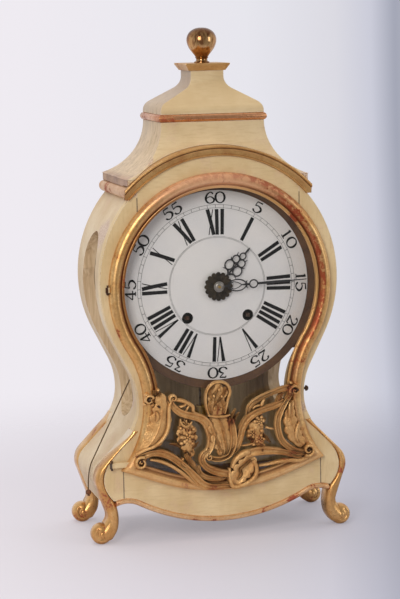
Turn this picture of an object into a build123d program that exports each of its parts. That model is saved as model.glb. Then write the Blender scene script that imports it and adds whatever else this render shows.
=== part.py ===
from build123d import *
import math
import os

# Spring-driven bracket clock in a waisted wooden case, in millimetres.
# X runs across the front, to the right. Y runs from the front to the back. Z is up, from the floor.
# The origin is at the middle of the bounding box, at floor level.

# ---------------------------------------------------------------- case, front outline
BULGE_HALF_WIDTH = 144.3
BULGE_Z = 306.0
BULGE_SWELL = 9.5
BULGE_R = BULGE_HALF_WIDTH + BULGE_SWELL
WAIST_HALF_WIDTH = 101.5
WAIST_Z = 165.0
WAIST_UPPER_R = 80.0
WAIST_LOWER_R = 60.0
KNEE_HALF_WIDTH = 154.3
KNEE_Z = 77.0
KNEE_R = 24.0
ANKLE_SETBACK = 13.3
ANKLE_HALF_WIDTH = KNEE_HALF_WIDTH - ANKLE_SETBACK
ANKLE_Z = 33.0
ANKLE_R = 12.0
CASE_TOP_Z = 405.0
CASE_BOTTOM_Z = 46.0

# ---------------------------------------------------------------- case, depth and boards
CASE_DEPTH = 132.0
NOSE = 18.0
REAR_OVERHANG = 5.0
FRONT_Y = NOSE - (NOSE + CASE_DEPTH + REAR_OVERHANG) / 2
REAR_Y = FRONT_Y + CASE_DEPTH
MIDDLE_Y = (FRONT_Y + REAR_Y) / 2
FRONT_BOARD_T = 12.0
SIDE_BOARD_T = 14.0
BACK_BOARD_T = 10.0
SHELF_T = 10.0
PANEL_INSET = 1.0
GLUE_GAP = 0.1
FREE_GAP = 0.3
ARCH_JOINT_X = 98.0
APRON_JOINT_SETBACK = 32.8
APRON_JOINT_X = KNEE_HALF_WIDTH - APRON_JOINT_SETBACK
APRON_JOINT_Z = 92.0
BOTTOM_BOARD_Z = 48.0
BELL_HOLE_W = 110.0
BELL_HOLE_D = 56.0

# ---------------------------------------------------------------- side slots
SLOT_HALF_WIDTH = 36.0
SLOT_FOOT_HALF_WIDTH = 33.0
SLOT_TOP_Z = 364.0
SLOT_SPRING_Z = 305.0
SLOT_BOTTOM_Z = 140.0
SLOT_CROWN_BOW = 5.0

# ---------------------------------------------------------------- scroll legs
LEG_DEPTH = 24.0
LEG_PROUD = 2.0
LEG_TIP_Z = 134.0
LEG_TIP_W = 3.0
FOOT_R = 12.5
FOOT_SETBACK = 6.3
FOOT_X = KNEE_HALF_WIDTH - FOOT_SETBACK
FOOT_FLAT = 0.5
FOOT_Z = FOOT_R - FOOT_FLAT
FOOT_EYE_R = 4.5
FOOT_EYE_PROUD = 1.5
LEG_SETBACKS = [(17.8, 4.5), (24.8, 16.0), (26.5, 32.0), (23.3, 47.0), (14.8, 59.0), (9.3, 76.0), (13.3, 92.0),
                (31.3, 113.5)]
LEG_INNER = [(KNEE_HALF_WIDTH - setback, z) for setback, z in LEG_SETBACKS]

# ---------------------------------------------------------------- apron
APRON_LOW_Z = 17.5
APRON_R = 217.0
APRON_TURN_SETBACK = 50.3
APRON_TURN_X = KNEE_HALF_WIDTH - APRON_TURN_SETBACK
APRON_END_R = 30.0
APRON_END_SETBACK = 23.3
APRON_END_X = KNEE_HALF_WIDTH - APRON_END_SETBACK
BEAD_H = 6.3
BEAD_PROUD = 3.0

# ---------------------------------------------------------------- door
DIAL_Z = 298.0
DOOR_RISE = 1.0
DOOR_Z = DIAL_Z + DOOR_RISE
DOOR_MARGIN = 9.8
DOOR_WAIST_MARGIN = 5.3
DOOR_R = BULGE_HALF_WIDTH - DOOR_MARGIN
DOOR_WAIST_HALF_WIDTH = WAIST_HALF_WIDTH - DOOR_WAIST_MARGIN
SILL_LOW_Z = 56.0
SILL_R = 225.0
SILL_TURN_DEG = 20.8
DOOR_FRAME_W = 18.2
SILL_W = 15.0
DOOR_FRAME_T = 10.0
DOOR_EDGE_T = 4.0
DOOR_LIP_T = 5.6
DOOR_GAP = 0.4
DOOR_OVERLAP = 8.5
GLASS_T = 2.0
GLASS_REBATE = 3.0
DOOR_BACK_Y = FRONT_Y - DOOR_GAP
DOOR_FRONT_Y = DOOR_BACK_Y - DOOR_FRAME_T
GLASS_BACK_Y = DOOR_BACK_Y - FREE_GAP
GLASS_FRONT_Y = GLASS_BACK_Y - GLASS_T

# ---------------------------------------------------------------- door hinge and catch
HINGE_OFFSET = 1.7
HINGE_X = -(DOOR_R + HINGE_OFFSET)
HINGE_PROUD = 5.2
HINGE_Y = FRONT_Y - HINGE_PROUD
HINGE_HEIGHTS = [92.0, DOOR_Z]
HINGE_TAILS = [20.0, 8.0]
HINGE_PIN_R = 1.2
HINGE_PIN_H = 9.0
HINGE_EYE_R = 2.5
HINGE_EYE_H = 6.0
HINGE_TAIL_T = 1.6
FIT = 0.05
CATCH_Z = 170.0
CATCH_SHAFT_R = 1.5
CATCH_HEAD_R = 3.5
CATCH_TRAVEL = 3.0
CATCH_CLEAR = 1.0
CATCH_COLLAR_R = 3.0
CATCH_COLLAR_T = 2.0
CATCH_BACK = 6.0
TONGUE_SETBACK = 26.0
TONGUE_T = 2.0
TONGUE_REACH = 8.0
TONGUE_H = 10.0

# ---------------------------------------------------------------- cornice and roof
ARCH_RISE = 3.0
ARCH_MARGIN = 0.8
ARCH_Z = BULGE_Z + ARCH_RISE
ARCH_R = BULGE_HALF_WIDTH - ARCH_MARGIN
ARCH_H = 12.0
ARCH_DEPTH = 24.0
ARCH_PROUD = 3.0
ARCH_LIP_H = 2.5
ARCH_LIP_PROUD = 2.0
OUTLINE_TOP_Z = ARCH_Z + ARCH_R + 1.0
CORNICE_H = 14.0
CORNICE_OVERHANG = 4.8
CASE_TOP_HALF_WIDTH = BULGE_HALF_WIDTH - BULGE_R + math.sqrt(
    BULGE_R ** 2 - (CASE_TOP_Z - BULGE_Z) ** 2)
CORNICE_HALF_WIDTH = CASE_TOP_HALF_WIDTH + CORNICE_OVERHANG
CORNICE_LAP = 14.0
CORNICE_ROUND = 6.5
FASCIA_H = 9.0
FASCIA_SETBACK = 4.0
FASCIA_HALF_WIDTH = CORNICE_HALF_WIDTH - FASCIA_SETBACK
FASCIA_HALF_DEPTH = CASE_DEPTH / 2 + REAR_OVERHANG - FASCIA_SETBACK
COVE_H = 63.5
COVE_TOP_HALF_WIDTH = 62.4
COVE_TOP_HALF_DEPTH = 45.0
COVE_FRONT_R = 66.0
COVE_SIDE_R = 102.0
ROOF_BEAD_H = 9.0
ROOF_BEAD_PROUD = 3.0
ROOF_BELL_H = 49.5
SHOULDER_R = 12.5
NECK_R = 16.0
SHOULDER_RISE = 2.5
NECK_RISE = 42.5
NECK_HALF_WIDTH = 20.0
NECK_HALF_DEPTH = 23.0
SLAB_H = 8.5
SLAB_LIP_H = 1.5
SLAB_HALF_WIDTH = 26.8
SLAB_HALF_DEPTH = 28.5
SLAB_FLARE = 4.5
FINIAL_H = 41.5
FINIAL_R = 17.8
FINIAL_NECK_R = 7.4
FINIAL_NECK_H = 7.5
FINIAL_RING_R = 8.9
FINIAL_RING_H = 2.0
ROOF_WALL = 9.0
CORNICE_TOP_Z = CASE_TOP_Z + CORNICE_H
COVE_Z = CORNICE_TOP_Z + FASCIA_H
ROOF_BEAD_Z = COVE_Z + COVE_H
ROOF_BELL_Z = ROOF_BEAD_Z + ROOF_BEAD_H
SLAB_Z = ROOF_BELL_Z + ROOF_BELL_H
FINIAL_Z = SLAB_Z + SLAB_H

# ---------------------------------------------------------------- dial and hands
DIAL_MARGIN = 3.3
DIAL_R = DOOR_R - DOOR_FRAME_W - DIAL_MARGIN
DIAL_T = 1.6
DIAL_DOME = 6.0
DIAL_SETBACK = 12.0
DIAL_CREST_Y = FRONT_Y + DIAL_SETBACK
DIAL_HOLE_R = 5.0
WINDING_HOLE_R = 6.75
DIAL_FOOT_R = 2.0
DIAL_FOOT_REACH = 50.0
DIAL_RING_PROUD = 10.5
DIAL_RING_LAP = 9.0
DIAL_RING_R = DIAL_R + DIAL_RING_PROUD
DIAL_RING_BORE_R = DIAL_R - DIAL_RING_LAP
MINUTE_HAND_MARGIN = 4.5
MINUTE_HAND_LENGTH = DIAL_R - MINUTE_HAND_MARGIN
MINUTE_HAND_DEG = 88.0
HOUR_HAND_LENGTH = 59.5
HOUR_HAND_DEG = 42.0
HAND_T = 1.0
HAND_WALL = 1.1
HOUR_BOSS_R = 8.0
MINUTE_BOSS_R = 5.5
HAND_STEM_W = 3.0
LEAF_HALF_WIDTH = 2.2
LARGE_RING_R = 5.6
SMALL_RING_R = 4.5
MINUTE_OVAL = (6.2, 9.5)
MINUTE_HEART = (2.6, 5.0)
MINUTE_EYE = (3.4, 5.6)
BLADE_HALF_WIDTH = 1.7
BLADE_TIP_HALF_WIDTH = 0.4
ROSETTE_R = 15.0
ROSETTE_LOBES = 16
ROSETTE_LOBE_R = 2.9
NUT_R = 4.6
NUT_RIM_R = 5.6
NUT_RIM_T = 1.2
NUT_H = 3.0
HAND_CLEAR = 3.2
ROSETTE_CLEAR = 0.4
MINUTE_HAND_CLEAR = 0.8
ARBOR_TIP = 1.0

# ---------------------------------------------------------------- movement
PLATE_HALF_WIDTH = 66.0
PLATE_BOTTOM_Z = 226.0
PLATE_TOP_Z = 370.0
PLATE_T = 3.0
PLATE_SETBACK = 17.0
FRONT_PLATE_Y = DIAL_CREST_Y + PLATE_SETBACK
PLATE_SPAN = 48.0
BETWEEN_Y = FRONT_PLATE_Y + PLATE_T
BACK_PLATE_Y = BETWEEN_Y + PLATE_SPAN
PILLAR_R = 3.5
PILLAR_BELLY_R = 4.0
PILLAR_INSET = 6.0
WINDING_X = 37.0
WINDING_DROP = 36.5
ARBOR_R = 1.5
WINDING_ARBOR_R = 3.0
BARREL_R = 30.0
BARREL_WALL = 2.0
BARREL_SETBACK = 8.0
BARREL_Y = BETWEEN_Y + BARREL_SETBACK
BARREL_LENGTH = 31.0
BARREL_TEETH = 96
BARREL_MODULE = 0.66
INTERMEDIATE_LEAVES = 12
INTERMEDIATE_TEETH = 72
INTERMEDIATE_MODULE = 0.6
CENTRE_LEAVES = 12
CENTRE_TEETH = 84
CENTRE_MODULE = 0.55
THIRD_LEAVES = 7
THIRD_TEETH = 63
THIRD_MODULE = 0.5
THIRD_LEAN_DEG = 115.0
ESCAPE_LEAVES = 6
ESCAPE_TEETH = 30
ESCAPE_R = 14.0
WHEEL_T = 2.0
PINION_LAP = 0.6
CANNON_LEAVES = 12
MINUTE_TEETH = 36
MOTION_MODULE = 0.6
MINUTE_LEAVES = 10
HOUR_TEETH = 40
STUD_R = 1.5
PALLET_RISE = 18.7
PALLET_SPAN_DEG = 38.0
PIVOT_R = 0.8
STAFF_R = 1.0
HUB_R = 5.0
THIRD_HUB_R = 4.0
RIM_W = 4.0
SPOKE_W = 3.7
GREAT_WHEEL_STEP = 2.0
INTERMEDIATE_STEP = 2.5
CENTRE_STEP = 4.0
THIRD_STEP = 10.0
ESCAPE_STEP = 12.0
CANNON_STEP = 3.0
MINUTE_PINION_L = 4.0
HOUR_WHEEL_STEP = 3.5
CANNON_PIPE_R = 2.4
HOUR_PIPE_R = 3.6
SQUARE_SETBACK = 1.0
SQUARE_LAP = 2.0

# ---------------------------------------------------------------- pendulum, bell, hammer
GRAVITY = 9810.0
PENDULUM_SETBACK = 102.0
PENDULUM_Y = FRONT_Y + PENDULUM_SETBACK
PENDULUM_ROD_R = 1.5
BOB_R = 7.0
BOB_H = 23.0
CRUTCH_STEP = 7.0
CRUTCH_Y = BACK_PLATE_Y + PLATE_T + CRUTCH_STEP
CRUTCH_W = 4.0
CRUTCH_T = 2.0
FORK_T = 1.5
FORK_REACH = 3.0
ANCHOR_CLEAR = 1.6
COCK_W = 20.0
COCK_T = 6.0
COCK_RISE = 8.0
COCK_LEG_W = 10.0
COCK_LEG_T = 3.0
COCK_LEG_DROP = 4.0
COCK_PIN_REACH = 4.0
SUSPENSION_L = 4.0
CRUTCH_LENGTH = 60.0
BELL_R = 26.0
BELL_T = 2.5
BELL_X = 24.0
BELL_Y = 16.0
BELL_Z = 432.0
STAND_R = 3.0
STAND_FOOT_W = 14.0
STAND_FOOT_REACH = 5.0
STAND_FOOT_H = 20.0
STAND_PROUD = 4.0
STAND_CAP_R = 5.0
STAND_CAP_T = 2.0
HAMMER_X = -24.0
HAMMER_Z = 358.0
HAMMER_HEAD_R = 5.0
HAMMER_HEAD_LENGTH = 11.0
HAMMER_GAP = 1.0
HAMMER_ARM_W = 3.0
HAMMER_ARM_T = 2.0
HAMMER_STAFF_R = 1.5

# ---------------------------------------------------------------- pull cord
CORD_R = 0.75
CORD_Y = -25.0
CORD_TOP_X = -103.0
CORD_TOP_Z = 190.5
CORD_END_Z = 60.0
CORD_BEAD_R = 3.3
CORD_CLEAR = 3.0
CORD_KNOT_R = 1.7
CORD_EYE_R = 2.2
CORD_EYE_WIRE_R = 0.6
CORD_EYE_SHANK = 6.0

# ---------------------------------------------------------------- carved openwork, points as (x, z)
CARVING_GRID = 1.0
CARVING_MARGIN = 0.5
SCROLLS = [
    ([(-9, 145), (-9, 166), (-8, 185)], [14, 22, 10]),
    ([(-3, 148), (-2, 123), (-7, 96)], [20, 27, 10]),
    ([(-12, 142), (-30, 147), (-44, 154), (-56, 163), (-63, 173)], [11, 11, 10, 9, 9]),
    ([(-30, 144), (-20, 134), (-16, 121), (-20, 104)], [6, 6, 7, 7]),
    ([(-81, 180), (-80, 159), (-82, 137), (-91, 120), (-104, 105)], [12, 22, 24, 19, 10]),
    ([(-103, 101), (-91, 107), (-75, 107), (-60, 99), (-44, 84), (-32, 71), (-15, 63), (8, 63)],
     [11, 9, 9, 8, 8, 8, 7, 6]),
    ([(-45, 150), (-45, 125), (-43, 100), (-38, 80)], [14, 25, 9, 7]),
    ([(-14, 97), (-23, 99), (-26, 90), (-16, 80), (2, 70)], [8, 8, 8, 8, 7]),
    ([(41, 156), (42, 130), (44, 98)], [14, 22, 12]),
    ([(8, 114), (17, 130), (24, 143), (39, 153), (56, 156), (78, 162)], [10, 10, 10, 10, 9, 9]),
    ([(85, 176), (79, 154), (79, 129), (87, 107), (104, 93)], [11, 16, 20, 18, 10]),
    ([(109, 91), (93, 87), (74, 92), (53, 97), (37, 94), (27, 84), (17, 68), (9, 59)],
     [9, 9, 9, 9, 12, 22, 20, 7]),
]
VOLUTES = [(-63, 172, 6), (-101, 99, 8), (-91, 171, 8), (88, 170, 9), (102, 98, 9)]
NAILS = [(-103, 101), (-92, 173), (-81, 164), (88, 173), (102, 99)]
NAIL_R = 1.4
NAIL_LENGTH = 13.0


# ================================================================ helpers
def front_view(y):
    """The plane of the front view at one depth, with its normal towards the viewer."""
    return Plane((0, y, 0), x_dir=(1, 0, 0), z_dir=(0, -1, 0))


SIDE_VIEW = Plane((0, MIDDLE_Y, 0), x_dir=(0, 1, 0), z_dir=(1, 0, 0))


def boarded(sketch, front, back):
    """A front-view sketch made solid between two depths."""
    return extrude(front_view(back) * sketch, amount=back - front)


def turned(spans, at, bore=0.0):
    """Cylinders in a line along Y, as (front, back, radius), about the point at = (x, z)."""
    x, z = at
    body = None
    for front, back, radius in spans:
        piece = boarded(Pos(x, z) * Circle(radius), front, back)
        body = piece if body is None else body + piece
    if bore:
        ends = [y for span in spans for y in span[:2]]
        body -= boarded(Pos(x, z) * Circle(bore), min(ends) - 1, max(ends) + 1)
    return body


def band(x0, x1, z0, z1):
    """A rectangle of the front view, by its corners."""
    return Pos((x0 + x1) / 2, (z0 + z1) / 2) * Rectangle(x1 - x0, z1 - z0)


def block(x0, x1, y0, y1, z0, z1):
    """A block, by its corners."""
    return Pos((x0 + x1) / 2, (y0 + y1) / 2, (z0 + z1) / 2) * Box(x1 - x0, y1 - y0, z1 - z0)


def cross_tangent(c1, r1, c2, r2, turn):
    """Ends of the straight run that leaves circle 1 and meets circle 2, which bends the other way."""
    gap = c2 - c1
    swing = turn * math.degrees(math.acos((r1 + r2) / gap.length))
    out = gap.normalized().rotate(Axis.Z, swing)
    return c1 + out * r1, c2 - out * r2


def circles_meet(c1, r1, c2, r2, side):
    """One of the two points where two circles meet: side is 1 for the left of the line c1 to c2."""
    gap = c2 - c1
    along = (r1 * r1 - r2 * r2 + gap.length ** 2) / (2 * gap.length)
    across = math.sqrt(r1 * r1 - along * along)
    ahead = gap.normalized()
    return c1 + ahead * along + Vector(-ahead.Y, ahead.X) * (side * across)


def round_run(centre, start, end):
    """The arc about a centre, the short way from start to end."""
    reach = (start - centre).length
    middle = centre + ((start - centre) + (end - centre)).normalized() * reach
    return ThreePointArc(start, middle, end)


def both_sides(edges):
    """A closed face from the edges of its right half, listed from one end on the centre to the other."""
    others = [mirror(edge, about=Plane.YZ) for edge in edges]
    first, last = edges[0] @ 0, edges[-1] @ 1
    closing = []
    for point in (first, last):
        if abs(point.X) > 1e-6:
            closing.append(Line((point.X, point.Y), (-point.X, point.Y)))
    return make_face(list(edges) + others + closing)


# ================================================================ outlines of the front view
BULGE_C = Vector(BULGE_HALF_WIDTH - BULGE_R, BULGE_Z)
WAIST_UPPER_C = Vector(WAIST_HALF_WIDTH + WAIST_UPPER_R, WAIST_Z)
WAIST_LOWER_C = Vector(WAIST_HALF_WIDTH + WAIST_LOWER_R, WAIST_Z)
KNEE_C = Vector(KNEE_HALF_WIDTH - KNEE_R, KNEE_Z)
ANKLE_C = Vector(ANKLE_HALF_WIDTH + ANKLE_R, ANKLE_Z)


def case_face(inset, top_z=CASE_TOP_Z):
    """The waisted outline of the case up to a height, moved inwards by inset."""
    bulge_r, knee_r = BULGE_R - inset, KNEE_R - inset
    upper_r, lower_r, ankle_r = WAIST_UPPER_R + inset, WAIST_LOWER_R + inset, ANKLE_R + inset
    top = Vector(BULGE_C.X + math.sqrt(bulge_r ** 2 - (top_z - BULGE_Z) ** 2), top_z)
    leave_bulge, reach_waist = cross_tangent(BULGE_C, bulge_r, WAIST_UPPER_C, upper_r, 1)
    waist = Vector(WAIST_HALF_WIDTH - inset, WAIST_Z)
    leave_waist, reach_knee = cross_tangent(WAIST_LOWER_C, lower_r, KNEE_C, knee_r, -1)
    leave_knee, reach_ankle = cross_tangent(KNEE_C, knee_r, ANKLE_C, ankle_r, 1)
    ankle = Vector(ANKLE_HALF_WIDTH - inset, ANKLE_Z)
    return both_sides([
        round_run(BULGE_C, top, leave_bulge),
        Line(leave_bulge, reach_waist),
        round_run(WAIST_UPPER_C, reach_waist, waist),
        round_run(WAIST_LOWER_C, waist, leave_waist),
        Line(leave_waist, reach_knee),
        round_run(KNEE_C, reach_knee, leave_knee),
        Line(leave_knee, reach_ankle),
        round_run(ANKLE_C, reach_ankle, ankle),
        Line(ankle, (ankle.X, 0)),
    ])


def slot_face():
    """The side slot: a rounded foot, flaring edges and a pointed crown."""
    foot_z = SLOT_BOTTOM_Z + SLOT_FOOT_HALF_WIDTH
    spring = Vector(SLOT_HALF_WIDTH, SLOT_SPRING_Z)
    point = Vector(0, SLOT_TOP_Z)
    out = (spring - point).normalized()
    bow = (spring + point) / 2 + Vector(-out.Y, out.X) * SLOT_CROWN_BOW
    foot = Vector(SLOT_FOOT_HALF_WIDTH, foot_z)
    return both_sides([
        ThreePointArc(point, bow, spring),
        Line(spring, foot),
        round_run(Vector(0, foot_z), foot, Vector(0, SLOT_BOTTOM_Z)),
    ])


DOOR_C = Vector(0, DOOR_Z)
DOOR_WAIST_R = (DOOR_WAIST_HALF_WIDTH ** 2 + (DOOR_Z - WAIST_Z) ** 2 - DOOR_R ** 2) / (
    2 * (DOOR_R - DOOR_WAIST_HALF_WIDTH))
DOOR_WAIST_C = Vector(DOOR_WAIST_HALF_WIDTH + DOOR_WAIST_R, WAIST_Z)
SILL_C = Vector(0, SILL_LOW_Z + SILL_R)
SILL_SLOPE = Vector(math.cos(math.radians(SILL_TURN_DEG)), math.sin(math.radians(SILL_TURN_DEG)))


def door_points(side_inset, sill_inset):
    """Corners of the door outline's right half: crown, spring of the waist, tip, turn of the sill, lowest."""
    crown = Vector(0, DOOR_Z + DOOR_R - side_inset)
    spring = DOOR_C + (DOOR_WAIST_C - DOOR_C).normalized() * (DOOR_R - side_inset)
    fall = Vector(SILL_SLOPE.Y, -SILL_SLOPE.X)
    turn = SILL_C + fall * (SILL_R - sill_inset)
    to_waist = turn - DOOR_WAIST_C
    waist_r = DOOR_WAIST_R + side_inset
    half = to_waist.dot(SILL_SLOPE)
    run = -half - math.sqrt(half ** 2 - to_waist.dot(to_waist) + waist_r ** 2)
    tip = turn + SILL_SLOPE * run
    lowest = Vector(0, SILL_LOW_Z + sill_inset)
    return crown, spring, tip, turn, lowest


def door_face(side_inset, sill_inset):
    """The door outline, moved inwards by one inset round the hoop and another along the sill."""
    crown, spring, tip, turn, lowest = door_points(side_inset, sill_inset)
    return both_sides([
        round_run(DOOR_C, crown, spring),
        round_run(DOOR_WAIST_C, spring, tip),
        Line(tip, turn),
        round_run(SILL_C, turn, lowest),
    ])


def apron_face(lift):
    """Everything above the apron's lower edge, with that edge raised by lift."""
    low_c = Vector(0, APRON_LOW_Z + APRON_R)
    lean = math.asin(APRON_TURN_X / APRON_R)
    out = Vector(math.sin(lean), -math.cos(lean))
    end_c = low_c + out * (APRON_R + APRON_END_R)
    turn = low_c + out * (APRON_R - lift)
    end_r = APRON_END_R + lift
    end = Vector(APRON_END_X, end_c.Y + math.sqrt(end_r ** 2 - (APRON_END_X - end_c.X) ** 2))
    return both_sides([
        round_run(low_c, Vector(0, APRON_LOW_Z + lift), turn),
        round_run(end_c, turn, end),
        Line(end, (FOOT_X, end.Y)),
        Line((FOOT_X, end.Y), (FOOT_X, WAIST_Z)),
    ])


def leg_face():
    """The right-hand scroll leg: a band along the case's edge that curls outwards into a foot."""
    foot_c = Vector(FOOT_X, FOOT_Z)
    flat_half = math.sqrt(FOOT_R ** 2 - FOOT_Z ** 2)
    tip = Vector(WAIST_LOWER_C.X - math.sqrt(WAIST_LOWER_R ** 2 - (WAIST_Z - LEG_TIP_Z) ** 2), LEG_TIP_Z)
    leave_waist, reach_knee = cross_tangent(WAIST_LOWER_C, WAIST_LOWER_R, KNEE_C, KNEE_R, -1)
    leave_knee, reach_ankle = cross_tangent(KNEE_C, KNEE_R, ANKLE_C, ANKLE_R, 1)
    crease = circles_meet(foot_c, FOOT_R, ANKLE_C, ANKLE_R, 1)
    sole = [Vector(FOOT_X + flat_half, 0), Vector(FOOT_X - flat_half, 0)]
    inner_tip = tip + (tip - WAIST_LOWER_C).normalized() * LEG_TIP_W
    return make_face([
        round_run(WAIST_LOWER_C, tip, leave_waist),
        Line(leave_waist, reach_knee),
        round_run(KNEE_C, reach_knee, leave_knee),
        Line(leave_knee, reach_ankle),
        round_run(ANKLE_C, reach_ankle, crease),
        ThreePointArc(crease, foot_c + Vector(FOOT_R, 0), sole[0]),
        Line(*sole),
        Spline(sole[1], *LEG_INNER, inner_tip),
        Line(inner_tip, tip),
    ])


# ================================================================ case
def scroll_leg(front, outward):
    """A right-hand leg from its front face back, with the eye of the scroll on its outer face."""
    leg = boarded(leg_face(), front, front + LEG_DEPTH)
    eye_y = front - FOOT_EYE_PROUD if outward < 0 else front
    leg += boarded(Pos(FOOT_X, FOOT_Z) * Circle(FOOT_EYE_R), eye_y, eye_y + LEG_DEPTH + FOOT_EYE_PROUD)
    return leg


def make_case():
    """The boards, legs, bead and cornice that stay with the case."""
    parts = {}
    front_leg = scroll_leg(FRONT_Y - LEG_PROUD, -1)
    rear_leg = scroll_leg(REAR_Y + LEG_PROUD - LEG_DEPTH, 1)
    parts["front_leg_right"] = front_leg
    parts["front_leg_left"] = mirror(front_leg, about=Plane.YZ)
    rear_legs = rear_leg + mirror(rear_leg, about=Plane.YZ)
    parts["rear_legs"] = rear_legs

    legs = leg_face() + mirror(leg_face(), about=Plane.YZ)
    under_arch = Pos(0, ARCH_Z) * Circle(ARCH_R) + band(-BULGE_R, BULGE_R, 0, CASE_TOP_Z)
    outline = case_face(0, OUTLINE_TOP_Z) & under_arch
    boards = outline & (apron_face(BEAD_H) + band(-BULGE_R, BULGE_R, WAIST_Z, OUTLINE_TOP_Z))
    boards = boards - door_face(DOOR_OVERLAP, DOOR_OVERLAP) - legs
    arch_part = band(-ARCH_JOINT_X, ARCH_JOINT_X, DOOR_Z, OUTLINE_TOP_Z)
    apron_part = band(-APRON_JOINT_X, APRON_JOINT_X, 0, APRON_JOINT_Z)
    board_back = FRONT_Y + FRONT_BOARD_T
    parts["front_arch"] = boarded(boards & arch_part, FRONT_Y, board_back)
    arms = hinge_arm(HINGE_HEIGHTS[0]) + hinge_arm(HINGE_HEIGHTS[1])
    parts["front_apron"] = boarded(boards & apron_part, FRONT_Y, board_back) - arms
    stiles = boards - arch_part - apron_part
    right_half = band(0, 2 * BULGE_R, 0, OUTLINE_TOP_Z)
    stile = boarded(stiles & right_half, FRONT_Y, board_back)
    parts["front_stile_left"] = mirror(stile, about=Plane.YZ) - arms
    parts["front_stile_right"] = stile - catch_bore()

    bead = ((apron_face(0) - apron_face(BEAD_H)) & case_face(0)) - legs
    parts["apron_bead"] = boarded(bead, FRONT_Y - BEAD_PROUD, board_back)

    panel_band = band(0, 2 * BULGE_R, CASE_BOTTOM_Z, CASE_TOP_Z)
    room = case_face(PANEL_INSET + SIDE_BOARD_T)
    panel = boarded((case_face(PANEL_INSET) - room) & panel_band, board_back, REAR_Y)
    panel = panel - extrude(SIDE_VIEW * slot_face(), amount=2 * BULGE_R) - front_leg - rear_leg
    parts["side_panel_right"] = panel
    parts["side_panel_left"] = mirror(panel, about=Plane.YZ)

    inside = case_face(PANEL_INSET + SIDE_BOARD_T + GLUE_GAP)
    back_front = REAR_Y - BACK_BOARD_T
    wide = 2 * BULGE_R
    back_band = band(-wide, wide, CASE_BOTTOM_Z, CASE_TOP_Z)
    parts["backboard"] = boarded(inside & back_band, back_front, REAR_Y) - rear_legs
    floor_band = band(-wide, wide, BOTTOM_BOARD_Z, BOTTOM_BOARD_Z + SHELF_T)
    parts["bottom_board"] = boarded(inside & floor_band, board_back, back_front)
    top_band = band(-wide, wide, CASE_TOP_Z - SHELF_T, CASE_TOP_Z)
    bell_hole = block(-BELL_HOLE_W / 2, BELL_HOLE_W / 2, MIDDLE_Y - BELL_HOLE_D / 2,
                      MIDDLE_Y + BELL_HOLE_D / 2, CASE_TOP_Z - 2 * SHELF_T, CASE_TOP_Z + SHELF_T)
    parts["top_board"] = boarded(inside & top_band, FRONT_Y + ARCH_DEPTH, back_front) - bell_hole
    seat_band = band(-wide, wide, PLATE_BOTTOM_Z - SHELF_T, PLATE_BOTTOM_Z)
    parts["seat_board"] = boarded(inside & seat_band, FRONT_PLATE_Y, BACK_PLATE_Y + PLATE_T)
    parts.update(make_cornice())
    return parts


def arch_ring(front, back, gap=0.0):
    """The front cornice's arched strip, or the room that it needs with a gap over it."""
    ring = Pos(0, ARCH_Z) * Circle(ARCH_R + ARCH_H + gap) - Pos(0, ARCH_Z) * Circle(ARCH_R)
    return boarded(ring & band(-CORNICE_HALF_WIDTH, CORNICE_HALF_WIDTH, CASE_TOP_Z, FINIAL_Z), front, back)


def make_cornice():
    """The round moulding on the sides and back, and the arched strip over the front."""
    parts = {}
    low, high = CASE_TOP_Z, CORNICE_TOP_Z
    front, back = FRONT_Y - REAR_OVERHANG, REAR_Y + REAR_OVERHANG
    solid = block(-CORNICE_HALF_WIDTH, CORNICE_HALF_WIDTH, front, back, low, high)
    rims = solid.edges().filter_by(lambda edge: abs((edge @ 0).Z - (edge @ 1).Z) < GLUE_GAP)
    solid = fillet(rims, CORNICE_ROUND)
    inner_x = CORNICE_HALF_WIDTH - CORNICE_LAP
    ring = solid - block(-inner_x, inner_x, front + CORNICE_LAP, back - CORNICE_LAP, low, high)
    ring -= block(-inner_x, inner_x, front, FRONT_Y + ARCH_DEPTH, low, high)
    arch = arch_ring(FRONT_Y - ARCH_PROUD, FRONT_Y + ARCH_DEPTH)
    lip_r = ARCH_R + ARCH_H
    lip = Pos(0, ARCH_Z) * Circle(lip_r) - Pos(0, ARCH_Z) * Circle(lip_r - ARCH_LIP_H)
    lip_front = FRONT_Y - ARCH_PROUD - ARCH_LIP_PROUD
    lip_band = band(-CORNICE_HALF_WIDTH, CORNICE_HALF_WIDTH, CASE_TOP_Z, FINIAL_Z)
    arch += boarded(lip & lip_band, lip_front, FRONT_Y)
    under = boarded(Pos(0, ARCH_Z) * Circle(ARCH_R), front - 1, FRONT_Y + ARCH_DEPTH)
    parts["cornice_arch"] = arch
    parts["cornice_moulding"] = ring - arch - under
    return parts


# ================================================================ door and its fittings
def hinge_arm(height):
    """The wire arm that carries a hinge pin, from the stile out to the pin."""
    z = height - HINGE_PIN_R
    return turned([(HINGE_Y, FRONT_Y + FRONT_BOARD_T / 2, HINGE_PIN_R)], (HINGE_X, z))


def catch_bore():
    """The bore for the catch's shaft, through the waist of the right stile."""
    along_x = Plane((0, FRONT_Y + CATCH_BACK, CATCH_Z), z_dir=(1, 0, 0))
    return extrude(along_x * Circle(CATCH_SHAFT_R + FIT), amount=2 * WAIST_HALF_WIDTH)


def moulding_profile(width):
    """Section of the door's moulding: u inwards from its outer edge, v forwards from its back."""
    crest_u, cove_u, lip_u = 0.41 * width, 0.77 * width, 0.83 * width
    edge, crest, lip = DOOR_EDGE_T, DOOR_FRAME_T, DOOR_LIP_T
    return make_face([
        Line((0, 0), (0, edge)),
        ThreePointArc((0, edge), (0.17 * width, 0.88 * crest), (crest_u, crest)),
        ThreePointArc((crest_u, crest), (0.62 * width, 0.82 * crest), (cove_u, 0.48 * crest)),
        Line((cove_u, 0.48 * crest), (lip_u, lip)),
        Line((lip_u, lip), (width, 0.92 * lip)),
        Line((width, 0.92 * lip), (width, 0)),
        Line((width, 0), (0, 0)),
    ])


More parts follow.
